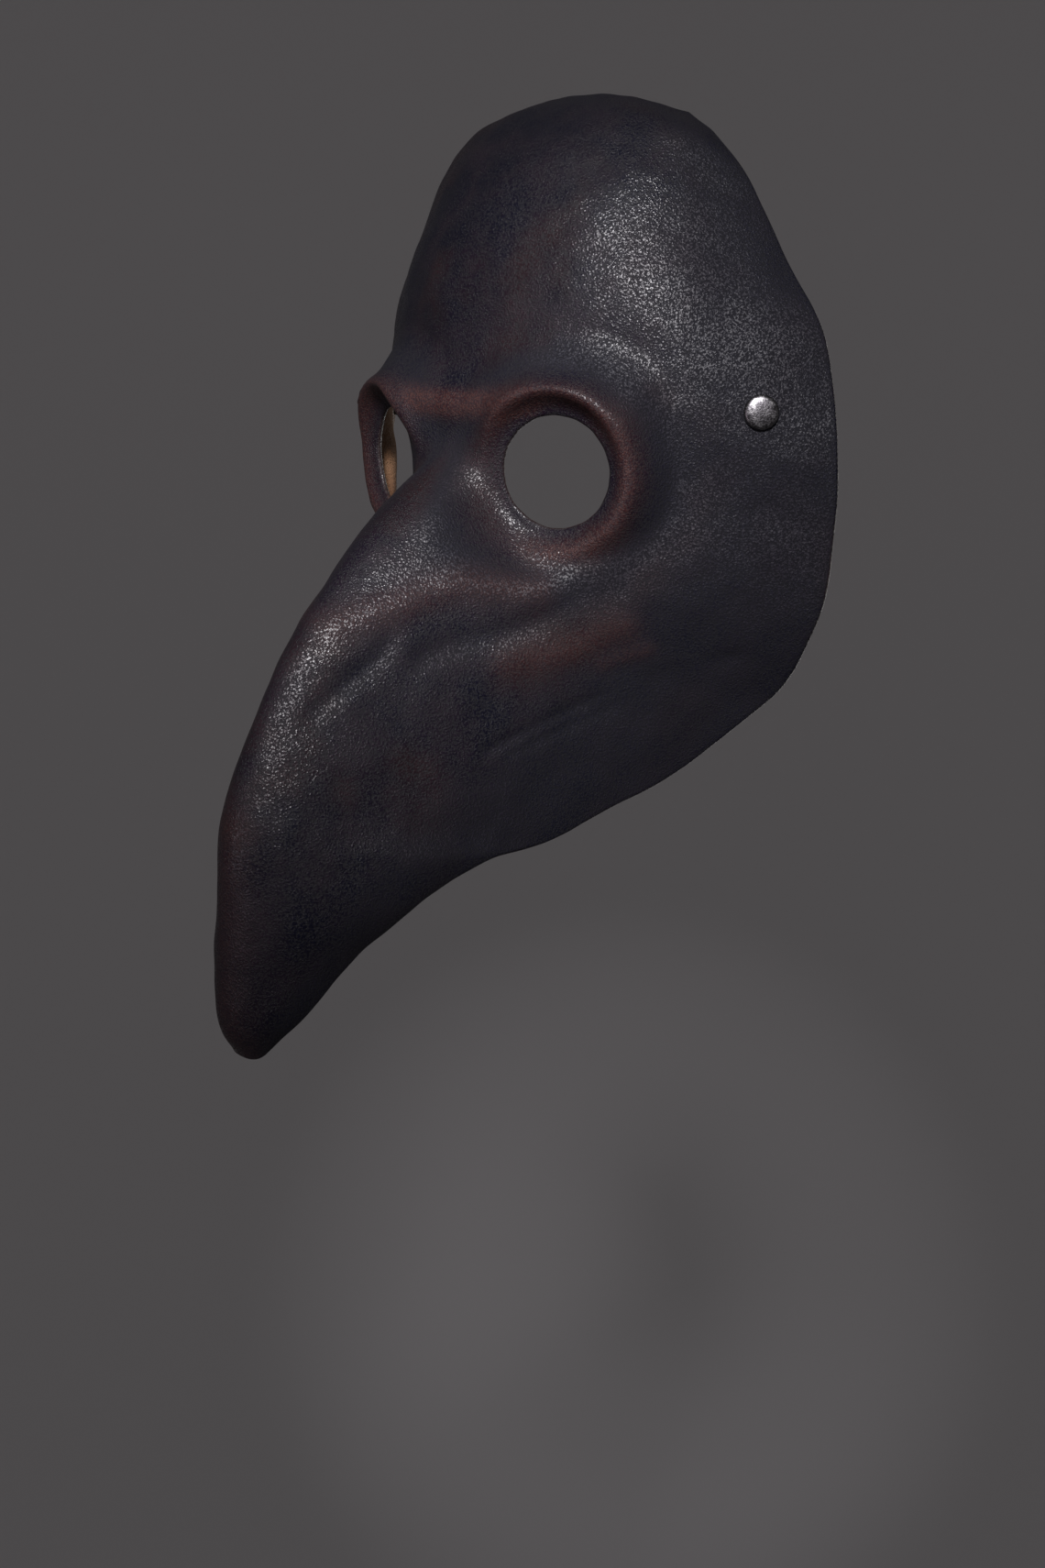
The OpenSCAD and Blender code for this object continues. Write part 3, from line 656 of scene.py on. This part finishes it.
# ---------------------------------------------------------------------------------------------
# Side tabs: short strips of strap leather, cut with round ends and skived edges. Each lies on the
# inner face at its rivet and turns to face sideways, where the head strap hangs from it.
joints = {joint["name"]: joint for joint in frame["record"]["behaviour"]["joints"]}
PIVOT_CAP_TALL = 1.8
PIVOT = np.array([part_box("pivot_rivet_left")[1][0] * 1e3 - PIVOT_CAP_TALL - STRAP_THICK / 2,
                  joints["strap_swing"]["pos_m"][1] * 1e3, joints["strap_swing"]["pos_m"][2] * 1e3])
TAB_HALF, TAB_REAR, TAB_BEND_R, TAB_TAIL = 7.0, 5.0, 9.0, 10.0
# Half of a strap's section, edge to middle: share of the half width, and height above the middle
GRAIN_SIDE = [(1.0, 0.35), (0.985, 0.72), (0.95, 0.97), (0.89, 1.06), (0.82, 1.10), (0.795, 0.99),
              (0.76, 0.99), (0.735, 1.10), (0.5, 1.10), (0.2, 1.10)]
FLESH_SIDE = [(0.1, -1.10), (0.4, -1.10), (0.7, -1.10), (0.86, -1.09), (0.95, -0.97),
              (0.985, -0.7), (1.0, -0.3)]
SECTION = ([(-v, n) for v, n in GRAIN_SIDE] + [(v, n) for v, n in GRAIN_SIDE[::-1]]
           + [(v, n) for v, n in FLESH_SIDE[::-1]] + [(-v, n) for v, n in FLESH_SIDE])
FLESH_RUN = (20, 33)               # which faces round the section are the flesh side


def swept(name, rings, closed=False, flesh=None, sharp=50):
    """Skin over a run of rings; the faces between the given ring points are the flesh side."""
    rings = np.array(rings)
    count, around = rings.shape[:2]
    faces, slots = [], []
    for i in range(count if closed else count - 1):
        for k in range(around):
            a, b, c, d = i * around + k, i * around + (k + 1) % around, (i + 1) % count * around, k
            faces.append((a, b, c + (k + 1) % around, c + d))
            slots.append(1 if flesh and flesh[0] <= k < flesh[1] else 0)
    verts = [q for ring in rings for q in ring]
    if not closed:
        for i, first in ((0, 0), (count - 1, (count - 1) * around)):
            verts.append(rings[i].mean(0))
            faces += [(first + k, first + (k + 1) % around, len(verts) - 1) for k in range(around)]
            slots += [0] * around
    piece = skin_over(name, verts, faces)
    piece.data.polygons.foreach_set("material_index", slots)
    point_outwards(piece.data, sharp)
    return piece


def strap_ring(centre, up, out, half):
    return [centre + v * half * up + n * out for v, n in SECTION]


fibre, tree, shader, place = finish("strap_flesh_side")
fuzz = use(tree, grain, Vector=place, Pebble=2600.0, Crease=0.0)
colour = mix(tree, fuzz["Patches"], (0.085, 0.048, 0.028, 1), (0.15, 0.092, 0.055, 1))
tree.links.new(colour, shader.inputs["Base Color"])
shader.inputs["Roughness"].default_value = 0.85
bumpy(tree, shader, fuzz["Height"], 0.5, 0.0003)


def strap_finish(name, middle, half, along):
    """Dark strap leather, burnished along the cut edges, with fine cracks over its grain."""
    made, tree, shader, place = finish(name)
    skin = use(tree, grain, Vector=place, Pebble=1700.0, Crease=0.35)
    apart = node(tree, "ShaderNodeSeparateXYZ", {0: place}).outputs[along]
    off = maths(tree, "ABSOLUTE", maths(tree, "SUBTRACT", apart, middle / 1e3))
    edge = ramp(tree, off, (half - 0.9) / 1e3, (half - 0.1) / 1e3)
    colour = mix(tree, skin["Patches"], (0.0135, 0.0085, 0.0065, 1), (0.030, 0.018, 0.012, 1))
    colour = mix(tree, maths(tree, "MULTIPLY", skin["Pebbles"], 0.25), colour, (0.045, 0.028, 0.019, 1))
    colour = mix(tree, edge, colour, (0.008, 0.0055, 0.005, 1))
    tree.links.new(colour, shader.inputs["Base Color"])
    dull = maths(tree, "ADD", 0.40, maths(tree, "MULTIPLY", skin["Patches"], 0.14))
    dull = maths(tree, "SUBTRACT", dull, maths(tree, "MULTIPLY", edge, 0.14))
    tree.links.new(dull, shader.inputs["Roughness"])
    bumpy(tree, shader, skin["Height"], 0.4, 0.0003)
    return made


wall_turn = math.atan2(rivet_axis[0], -rivet_axis[1])
tab_tilt = math.asin(rivet_axis[2])
tab_bend = TAB_BEND_R * (math.pi / 2 - wall_turn)
tab_root = rivet_point - (SEAT + TAB_DEPTH + STRAP_THICK / 2) * rivet_axis
tab_end = TAB_REAR + tab_bend + TAB_TAIL
tab_leather = strap_finish("side_tab_leather", PIVOT[2], TAB_HALF, 2)
stops = ([e - TAB_HALF for e in (0.02, 0.12, 0.3, 0.8, 1.6, 2.8, 4.4, 5.6, 7)]
         + [TAB_REAR + tab_bend * k / 12 for k in range(13)] + [TAB_REAR + tab_bend + 4]
         + [tab_end + TAB_HALF - e for e in (7, 5.6, 4.4, 2.8, 1.6, 0.8, 0.3, 0.12, 0.02)])
for side, label in ((1, "left"), (-1, "right")):
    rings = []
    for d in stops:
        heading = wall_turn + (math.pi / 2 - wall_turn) * min(max((d - TAB_REAR) / tab_bend, 0), 1)
        tilt = tab_tilt * (math.pi / 2 - heading) / (math.pi / 2 - wall_turn)
        run = np.array([math.cos(wall_turn), math.sin(wall_turn), 0])
        round_bend = np.array([math.sin(heading) - math.sin(wall_turn),
                               math.cos(wall_turn) - math.cos(heading), 0])
        centre = (tab_root + min(d, TAB_REAR) * run + TAB_BEND_R * round_bend
                  + max(d - TAB_REAR - tab_bend, 0) * np.array([0, 1, 0]))
        out = np.array([math.sin(heading) * math.cos(tilt), -math.cos(heading) * math.cos(tilt),
                        math.sin(tilt)])
        up = np.cross(out, [math.cos(heading), math.sin(heading), 0])
        left = min(d + TAB_HALF, tab_end + TAB_HALF - d)
        half = TAB_HALF if left >= TAB_HALF else math.sqrt(TAB_HALF ** 2 - (TAB_HALF - left) ** 2)
        rings.append(np.array(strap_ring(centre, up, out, half)) * [side, 1, 1])
    tab = swept("side_tab_" + label + "_leather", rings, flesh=FLESH_RUN)
    tab.data.materials.append(tab_leather)
    tab.data.materials.append(fibre)
    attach(tab, "root")
    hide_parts("side_tab_" + label)

# ---------------------------------------------------------------------------------------------
# Pivot rivets: smaller domed rivets of the same nickel, set loosely enough for the strap to turn.
# Each holds an end of the head strap to its tab, and its back cap lies inside the strap.
PIVOT_CAP, PIVOT_BACK_TALL, TOUCH = 9.0, 1.4, 0.1
STRAP_X = PIVOT[0] - STRAP_THICK - TOUCH
sideways = np.array([1.0, 0, 0])
set_rivets("pivot_rivets", both_sides(PIVOT + STRAP_THICK / 2 * sideways), both_sides(sideways), "root",
           ("pivot_rivet_left", "pivot_rivet_right"), cap=PIVOT_CAP, tall=PIVOT_CAP_TALL, post=POST_DIA,
           deep=2 * STRAP_THICK + 2 * TOUCH + POST_NIP)
inside = np.array([STRAP_X - STRAP_THICK / 2 - TOUCH, PIVOT[1], PIVOT[2]])
set_rivets("pivot_rivet_backs", both_sides(inside), both_sides(-sideways), "root",
           ("pivot_rivet_back_left", "pivot_rivet_back_right"), cap=PIVOT_CAP, tall=PIVOT_BACK_TALL,
           post=BACK_POST_DIA, deep=BACK_POST)

# ---------------------------------------------------------------------------------------------
# Buckle strap: the wearer's left half of the head strap, 16 mm harness leather. It hangs straight
# from its pivot and folds back on itself round the heel bar of the buckle, slotted for the prong.
STRAP_HALF, DROP, BEND_R, LEAN, ARM = 8.0, 14.0, 40.0, math.radians(20), 52.0
BEND = BEND_R * LEAN
BOTTOM_R = (STRAP_X - BEND_R * (1 - math.cos(LEAN)) - ARM * math.sin(LEAN)) / math.cos(LEAN)
HALF_LOOP = DROP + BEND + ARM + BOTTOM_R * (math.pi / 2 - LEAN)
HEEL_S, BAR_R, FOLD_END, POST_PLAY = 52.0, 1.2, 30.0, 0.05
WRAP_R = BAR_R + TOUCH + STRAP_THICK / 2
HEEL_N, FOLD_N = -WRAP_R, -STRAP_THICK - 0.15


def left_arm(s):
    if s < DROP:
        return STRAP_X, PIVOT[2] - s, 0.0
    if s < DROP + BEND:
        a = (s - DROP) / BEND_R
        return STRAP_X - BEND_R * (1 - math.cos(a)), PIVOT[2] - DROP - BEND_R * math.sin(a), a
    x, z, _ = left_arm(DROP + BEND - 0.0001)
    t = min(s - DROP - BEND, ARM)
    a = LEAN + max(s - DROP - BEND - ARM, 0) / BOTTOM_R
    return (x - t * math.sin(LEAN) - BOTTOM_R * (math.cos(LEAN) - math.cos(a)),
            z - t * math.cos(LEAN) - BOTTOM_R * (math.sin(a) - math.sin(LEAN)), a)


def loop_at(s):
    if s <= HALF_LOOP:
        return left_arm(s)
    x, z, a = left_arm(2 * HALF_LOOP - s)
    return -x, z, math.pi - a


def off_loop(s, n):
    x, z, a = loop_at(s)
    return np.array([x + n * math.cos(a), PIVOT[1], z - n * math.sin(a)])


def at_loop(s, n, points):
    """Points given along the strap, across it and out from it, placed at a spot of the loop."""
    a = loop_at(s)[2]
    ahead, out = np.array([-math.sin(a), 0, -math.cos(a)]), np.array([math.cos(a), 0, -math.sin(a)])
    points, across = np.array(points, float), np.array([0, 1.0, 0])
    return (off_loop(s, n) + points[..., :1] * ahead + points[..., 1:2] * across
            + points[..., 2:] * out)


def strap_rings(spots, half_at):
    path = [off_loop(s, n) for s, n in spots]
    rings = []
    for i, (s, n) in enumerate(spots):
        run = unit(path[min(i + 1, len(path) - 1)] - path[max(i - 1, 0)])
        rings.append(strap_ring(path[i], np.array([0, 1.0, 0]), np.array([-run[2], 0, run[0]]), half_at(s)))
    return rings


def oblong(s, n, long, wide, tall):
    """A cutter with round ends, upright through the strap."""
    half, ring = wide / 2, []
    for k in range(24):
        a = math.tau * (k + 0.5) / 24
        straight = math.copysign(max(long - wide, 0) / 2, math.cos(a))
        ring.append((half * math.cos(a) + straight, half * math.sin(a)))
    low = at_loop(s, n, [(x, v, -tall / 2) for x, v in ring])
    high = at_loop(s, n, [(x, v, tall / 2) for x, v in ring])
    return [low, high]


def punch(piece, cutters):
    tools = [swept("punch", cut) for cut in cutters]
    for tool in tools:
        cutter = piece.modifiers.new("punch", "BOOLEAN")
        cutter.operation, cutter.solver, cutter.object = "DIFFERENCE", "EXACT", tool
    seen = piece.evaluated_get(bpy.context.evaluated_depsgraph_get())
    solid = bpy.data.meshes.new_from_object(seen)
    piece.modifiers.clear()
    piece.data = solid
    solid.name = piece.name
    solid.set_sharp_from_angle(angle=math.radians(40))
    for tool in tools:
        bpy.data.objects.remove(tool)


def round_end(s, centre, radius):
    return min(STRAP_HALF, math.sqrt(max(radius ** 2 - min(s - centre, 0) ** 2, 1e-4)))


END_STEPS = (-7.99, -7.9, -7.6, -7, -6, -4.6, -3, -1.5)
PIVOT_HOLE, CUT = POST_DIA + 2 * POST_PLAY, 12
spots = [(s, 0) for s in (*END_STEPS, *np.arange(0, 29, 2.0), 34, 40, 46)]
spots += [(HEEL_S + WRAP_R * math.cos(a), HEEL_N + WRAP_R * math.sin(a))
          for a in np.linspace(math.pi / 2, -math.pi / 2, 21)]
spots += [(HEEL_S - 7 * t, 2 * HEEL_N + (FOLD_N - 2 * HEEL_N) * fade(t))
          for t in np.arange(0.1, 1.01, 0.1)]
spots += [(s, FOLD_N) for s in (40, 35, FOLD_END + 0.5, FOLD_END)]
rings = strap_rings(spots, lambda s: round_end(s, 0, STRAP_HALF))
strap = swept("buckle_strap_leather", rings, flesh=FLESH_RUN)
hang_leather = strap_finish("head_strap_leather", PIVOT[1], STRAP_HALF, 1)
strap.data.materials.append(hang_leather)
strap.data.materials.append(fibre)
ahead = at_loop(HEEL_S, HEEL_N, (1.5, 0, 0)) - off_loop(HEEL_S, HEEL_N)
slot = [q + ahead for q in oblong(HEEL_S, HEEL_N, 11, 3.4, 9)]
punch(strap, [oblong(0, 0, PIVOT_HOLE, PIVOT_HOLE, CUT), slot])
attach(strap, "head_strap")
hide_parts("buckle_strap")

# ---------------------------------------------------------------------------------------------
# Roller buckle: a frame bent from nickel-plated steel wire and closed under the heel bar, a roller
# of rolled sheet on the far bar with its seam left open, and a prong curled round the heel bar.
ROLLER_S, ROLLER_R, UNDER_N, RAIL_R = 67.0, 2.2, -2.0, 1.5
ROLLER_N = UNDER_N + STRAP_THICK / 2 + 0.15 + ROLLER_R
FRAME_HALF = STRAP_HALF + 0.4 + RAIL_R
run, rise = ROLLER_S - HEEL_S, ROLLER_N - HEEL_N
slope = math.atan2(rise, run)
buckle_nickel = plated("buckle_nickel", (0.10, 0.094, 0.088, 1), (0.34, 0.32, 0.30, 1), 0.24, 0.42)
WIRE_BEND = 2.4
long, turns = math.hypot(run, rise), []
for u, v, first in ((long - WIRE_BEND, FRAME_HALF - WIRE_BEND, 0), (WIRE_BEND, FRAME_HALF - WIRE_BEND, 90),
                    (WIRE_BEND, WIRE_BEND - FRAME_HALF, 180),
                    (long - WIRE_BEND, WIRE_BEND - FRAME_HALF, 270)):
    for k in range(9):
        a = math.radians(first + 90 * k / 8)
        turns.append((u + WIRE_BEND * math.cos(a), v + WIRE_BEND * math.sin(a)))
path = []
for k, q in enumerate(turns):
    nxt = turns[(k + 1) % len(turns)]
    steps = max(1, int(math.dist(q, nxt) / 1.2))
    path += [(q[0] + (nxt[0] - q[0]) * t / steps, q[1] + (nxt[1] - q[1]) * t / steps)
             for t in range(steps)]
path = np.array(path)
rings = []
for k, (u, v) in enumerate(path):
    ahead = path[(k + 1) % len(path)] - path[k - 1]
    ahead = ahead / np.hypot(*ahead)
    on_bar = 1 - fade((min(abs(u), abs(long - u)) - 0.6) / 2.4)
    thick = RAIL_R + (BAR_R - RAIL_R) * on_bar * fade((FRAME_HALF - 0.4 - abs(v)) / 1.6)
    ring = []
    for m in range(18):
        a = math.tau * m / 18
        side = thick * math.cos(a)
        high = thick * math.sin(a)
        flat_u, flat_v = u + side * ahead[1], v - side * ahead[0]
        ring.append((flat_u * math.cos(slope) - high * math.sin(slope), flat_v,
                     flat_u * math.sin(slope) + high * math.cos(slope)))
    rings.append(at_loop(HEEL_S, HEEL_N, ring))
wire = swept("buckle_wire", rings, closed=True)
wire.data.materials.append(buckle_nickel)
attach(wire, "head_strap")
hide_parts("buckle_frame")

TUBE_IN, TUBE_HALF, TUBE_SEAM = BAR_R + 0.12, STRAP_HALF, 5.0
# Half of the rolled wall, from inside the bore out over its rounded end to the middle
wall = [(TUBE_IN, TUBE_HALF - 0.2), (TUBE_IN + 0.2, TUBE_HALF), (ROLLER_R - 0.35, TUBE_HALF),
        (ROLLER_R - 0.1, TUBE_HALF - 0.12), (ROLLER_R, TUBE_HALF - 0.4), (ROLLER_R, TUBE_HALF / 2)]
wall = [(r, -v) for r, v in wall] + [(ROLLER_R, 0)] + wall[::-1]
rings = []
for a in np.radians(np.linspace(TUBE_SEAM, 360 - TUBE_SEAM, 49)):
    rings.append(at_loop(ROLLER_S, ROLLER_N, [(-r * math.cos(a), v, -r * math.sin(a)) for r, v in wall]))
tube = swept("buckle_roller_tube", rings, sharp=35)
tube.data.materials.append(buckle_nickel)
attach(tube, "roller")
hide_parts("buckle_roller")

PRONG_W, PRONG_T, PRONG_NIP = 2.4, 1.8, 0.4
root = BAR_R + 0.05 + PRONG_T / 2
sink = root - PRONG_NIP - rise
climb = math.asin((ROLLER_R + PRONG_T / 2 + 0.15) / math.hypot(run, sink)) - math.atan2(sink, run)
eye_r = (BAR_R + 0.05 + root + PRONG_NIP) / 2
line = [(eye_r * math.cos(a), eye_r * math.sin(a), 0.62) for a in np.radians(np.linspace(-40, -250, 22))]
start = np.array([0.0, root - PRONG_NIP])
for t in np.linspace(0.06, 1, 18):
    q = start + (run + 2.2) * t * np.array([math.cos(climb), math.sin(climb)])
    line.append((q[0], q[1], 0.62 + (PRONG_T / 2 - 0.62) * fade(t * 4) - 0.28 * fade((t - 0.75) * 4)))
rings = []
for i, (x, z, thick) in enumerate(line):
    near, far = line[max(i - 1, 0)], line[min(i + 1, len(line) - 1)]
    ahead = np.array([far[0] - near[0], far[1] - near[1]])
    ahead = ahead / np.hypot(*ahead)
    last = fade((len(line) - 1 - i + 0.25) / 1.5) if i > 30 else 1.0
    ring = []
    for m in range(16):
        a = math.tau * m / 16
        across = math.copysign(abs(math.cos(a)) ** 0.7, math.cos(a)) * PRONG_W / 2 * last
        up = math.copysign(abs(math.sin(a)) ** 0.8, math.sin(a)) * thick * last
        ring.append((x - up * ahead[1], across, z + up * ahead[0]))
    rings.append(at_loop(HEEL_S, HEEL_N, ring))
prong = swept("buckle_prong_wire", rings)
prong.data.materials.append(buckle_nickel)
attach(prong, "head_strap")
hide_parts("buckle_prong")

# ---------------------------------------------------------------------------------------------
# Fold rivet: a small double-cap rivet of the same nickel as the others. It closes the fold of the
# buckle strap just behind the buckle, cap outwards and back cap towards the head.
FOLD_RIVET_S, FOLD_RIVET_DIA, FOLD_POST, FOLD_CAP_TALL = 35.5, 7.0, 2.5, 1.2
fold_out = at_loop(FOLD_RIVET_S, 0, (0, 0, 1)) - off_loop(FOLD_RIVET_S, 0)
set_rivets("fold_rivet_cap", [off_loop(FOLD_RIVET_S, STRAP_THICK / 2)], [fold_out], "head_strap",
           ("fold_rivet",), cap=FOLD_RIVET_DIA, tall=FOLD_CAP_TALL, post=FOLD_POST,
           deep=STRAP_THICK - FOLD_N + POST_NIP)
set_rivets("fold_rivet_back_cap", [off_loop(FOLD_RIVET_S, FOLD_N - STRAP_THICK / 2)], [-fold_out],
           "head_strap", ("fold_rivet_back",), cap=FOLD_RIVET_DIA, tall=FOLD_CAP_TALL,
           post=FOLD_POST - 0.2, deep=BACK_POST)

# ---------------------------------------------------------------------------------------------
# Keeper: a narrow band of thin leather, bent round both straps and glued where its ends overlap.
# It slides on the buckle strap and holds the billet's loose end down.
KEEPER_S, KEEPER_W, KEEPER_T, KEEPER_SLACK, OVER_N = 42.2, 5.0, 1.6, 0.25, 3.6
low, high = FOLD_N - STRAP_THICK / 2 - KEEPER_SLACK, OVER_N + STRAP_THICK / 2 + KEEPER_SLACK
wide, middle = STRAP_HALF + KEEPER_SLACK + KEEPER_T / 2, (low + high) / 2
deep = (high - low + KEEPER_T) / 2
band, bend = [], 1.3
for v, n, first in ((wide - bend, deep - bend, 0), (bend - wide, deep - bend, 90),
                    (bend - wide, bend - deep, 180), (wide - bend, bend - deep, 270)):
    for k in range(7):
        a = math.radians(first + 15 * k)
        band.append((v + bend * math.cos(a), n + bend * math.sin(a), math.cos(a), math.sin(a)))
half_w, half_t = KEEPER_W / 2, KEEPER_T / 2
edge = [(-half_w, 0.3 * half_t), (-half_w + 0.15, 0.75 * half_t), (-half_w + 0.6, half_t),
        (0, half_t + 0.05), (half_w - 0.6, half_t), (half_w - 0.15, 0.75 * half_t),
        (half_w, 0.3 * half_t), (half_w, -0.4 * half_t), (half_w - 0.3, -half_t), (0, -half_t),
        (-half_w + 0.3, -half_t), (-half_w, -0.4 * half_t)]
rings = [at_loop(KEEPER_S, middle, [(x, v + t * c, n + t * s) for x, t in edge]) for v, n, c, s in band]
keeper = swept("keeper_band", rings, closed=True, sharp=60)
NO_EDGE = 40                       # wider than the band, so that it has no burnished edge
keeper.data.materials.append(strap_finish("keeper_leather", PIVOT[1], NO_EDGE, 1))
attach(keeper, "head_strap")
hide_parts("strap_keeper")

# ---------------------------------------------------------------------------------------------
# Billet strap: the long half of the head strap, round-ended and punched with a row of holes. It
# comes from the right pivot round the back of the head and under the roller, over the prong.
TIP_S, TIP_R, HOLE_S, HOLE_STEP, HOLE_DIA, HOLES = 31.0, 8.5, 57.0, 11.0, 3.0, 6
HEEL_TOP_N = 2.6                   # how high the billet passes over the heel bar


def billet_n(s):
    if s < HEEL_S + 2:
        return OVER_N + (HEEL_TOP_N - OVER_N) * fade((s - HEEL_S + 6) / 8)
    if s < ROLLER_S:
        return HEEL_TOP_N + (UNDER_N - HEEL_TOP_N) * fade((s - HEEL_S - 2) / (ROLLER_S - HEEL_S - 3))
    return UNDER_N - UNDER_N * fade((s - ROLLER_S - 4) / 14)


def billet_half(s):
    if s < TIP_S:
        return round_end(s, TIP_S, TIP_R)
    return round_end(2 * HALF_LOOP - s, 0, STRAP_HALF)


spots = [(TIP_S - TIP_R + e, OVER_N) for e in (0.01, 0.1, 0.4, 1, 2, 3.5, 5.5, 8)]
spots += [(s, OVER_N) for s in (33, 36, 39, 42)]
spots += [(s, billet_n(s)) for s in np.arange(HEEL_S - 7, ROLLER_S + 19, 0.75)]
start, stop = ROLLER_S + 20, 2 * HALF_LOOP
spots += [(s, 0) for s in np.linspace(start, stop, 110)[:-1]] + [(stop - e, 0) for e in END_STEPS[::-1]]
strap = swept("billet_strap_leather", strap_rings(spots, billet_half), flesh=FLESH_RUN)
strap.data.materials.append(hang_leather)
strap.data.materials.append(fibre)
cuts = [oblong(stop, 0, PIVOT_HOLE, PIVOT_HOLE, CUT), oblong(HOLE_S, billet_n(HOLE_S), 7.5, 3.4, 14)]
for k in range(-2, HOLES - 2):
    if k != 0:
        s = HOLE_S + k * HOLE_STEP
        cuts.append(oblong(s, billet_n(s), HOLE_DIA, HOLE_DIA, 8))
punch(strap, cuts)
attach(strap, "head_strap")
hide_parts("billet_strap")

# ---------------------------------------------------------------------------------------------
# Studio: a round pale sweep, which is the floor and curves up into the wall all the way round. It
# gives off a little light of its own, so that it stays an even grey. Three round lamps light the mask.
FLOOR, ROOM, CURVE, TURNS = -3000.0, 8000.0, 3500.0, 96
profile = [(60.0 + 1120 * k / 2, FLOOR) for k in range(3)]
for k in range(13):
    a = math.pi * k / 24
    profile.append((ROOM - CURVE + CURVE * math.sin(a), FLOOR + CURVE * (1 - math.cos(a))))
profile.append((ROOM, 8000.0))
ring_points = [(r * math.cos(2 * math.pi * k / TURNS), r * math.sin(2 * math.pi * k / TURNS), z)
               for r, z in profile for k in range(TURNS)]
faces = [tuple(range(TURNS))] + [
    (row * TURNS + k, (row + 1) * TURNS + k, (row + 1) * TURNS + (k + 1) % TURNS,
     row * TURNS + (k + 1) % TURNS)
    for row in range(len(profile) - 1) for k in range(TURNS)]
sweep = skin_over("sweep", ring_points, faces)
pale, tree, shader, place = finish("pale_sweep")
shader.inputs["Base Color"].default_value = (0.72, 0.70, 0.71, 1)
shader.inputs["Roughness"].default_value = 1.0
shader.inputs["Specular IOR Level"].default_value = 0.0
shader.inputs["Emission Color"].default_value = (1.0, 0.965, 0.98, 1)
shader.inputs["Emission Strength"].default_value = 0.0265
sweep.data.materials.append(pale)

world = bpy.data.worlds.new("studio")
world.use_nodes = True
world.node_tree.nodes["Background"].inputs[0].default_value = (1, 1, 1, 1)
world.node_tree.nodes["Background"].inputs[1].default_value = 0.04
bpy.context.scene.world = world
bpy.context.scene.view_settings.view_transform = "Standard"


def soft_box(name, azimuth, elevation, distance, size, watts, colour, spread=60):
    light = bpy.data.lights.new(name, "AREA")
    light.shape, light.size, light.energy, light.color = "DISK", size, watts, colour
    light.spread = math.radians(spread)
    lamp = bpy.data.objects.new(name, light)
    bpy.context.scene.collection.objects.link(lamp)
    a, e = math.radians(azimuth), math.radians(elevation)
    way = Vector((math.sin(a) * math.cos(e), -math.cos(a) * math.cos(e), math.sin(e)))
    lamp.location = way * distance
    lamp.rotation_mode = "QUATERNION"
    lamp.rotation_quaternion = way.to_track_quat("Z", "Y")
    return lamp


soft_box("key", 40, 34, 1.1, 0.20, 0.72, (1.0, 0.97, 1.0), 22)
soft_box("fill", 0, -2, 1.2, 0.50, 0.14, (1.0, 0.86, 0.95), 30)
soft_box("back", 196, -12, 1.3, 1.2, 0.9, (1.0, 0.98, 0.96), 60)

eye = bpy.data.cameras.new("camera")
eye.lens, eye.sensor_width, eye.sensor_fit = 37.37, 36.0, "AUTO"
eye.shift_y = -0.1257
eye.clip_start, eye.clip_end = 0.02, 40
camera = bpy.data.objects.new("camera", eye)
bpy.context.scene.collection.objects.link(camera)
a, e = math.radians(46.5), math.radians(5.0)
camera.location = Vector((math.sin(a) * math.cos(e), -math.cos(a) * math.cos(e), math.sin(e))) * 0.520
a, e = math.radians(44.691), math.radians(9.288)
look = Vector((-math.sin(a) * math.cos(e), math.cos(a) * math.cos(e), -math.sin(e)))
camera.rotation_mode = "QUATERNION"
camera.rotation_quaternion = look.to_track_quat("-Z", "Y")
bpy.context.scene.camera = camera
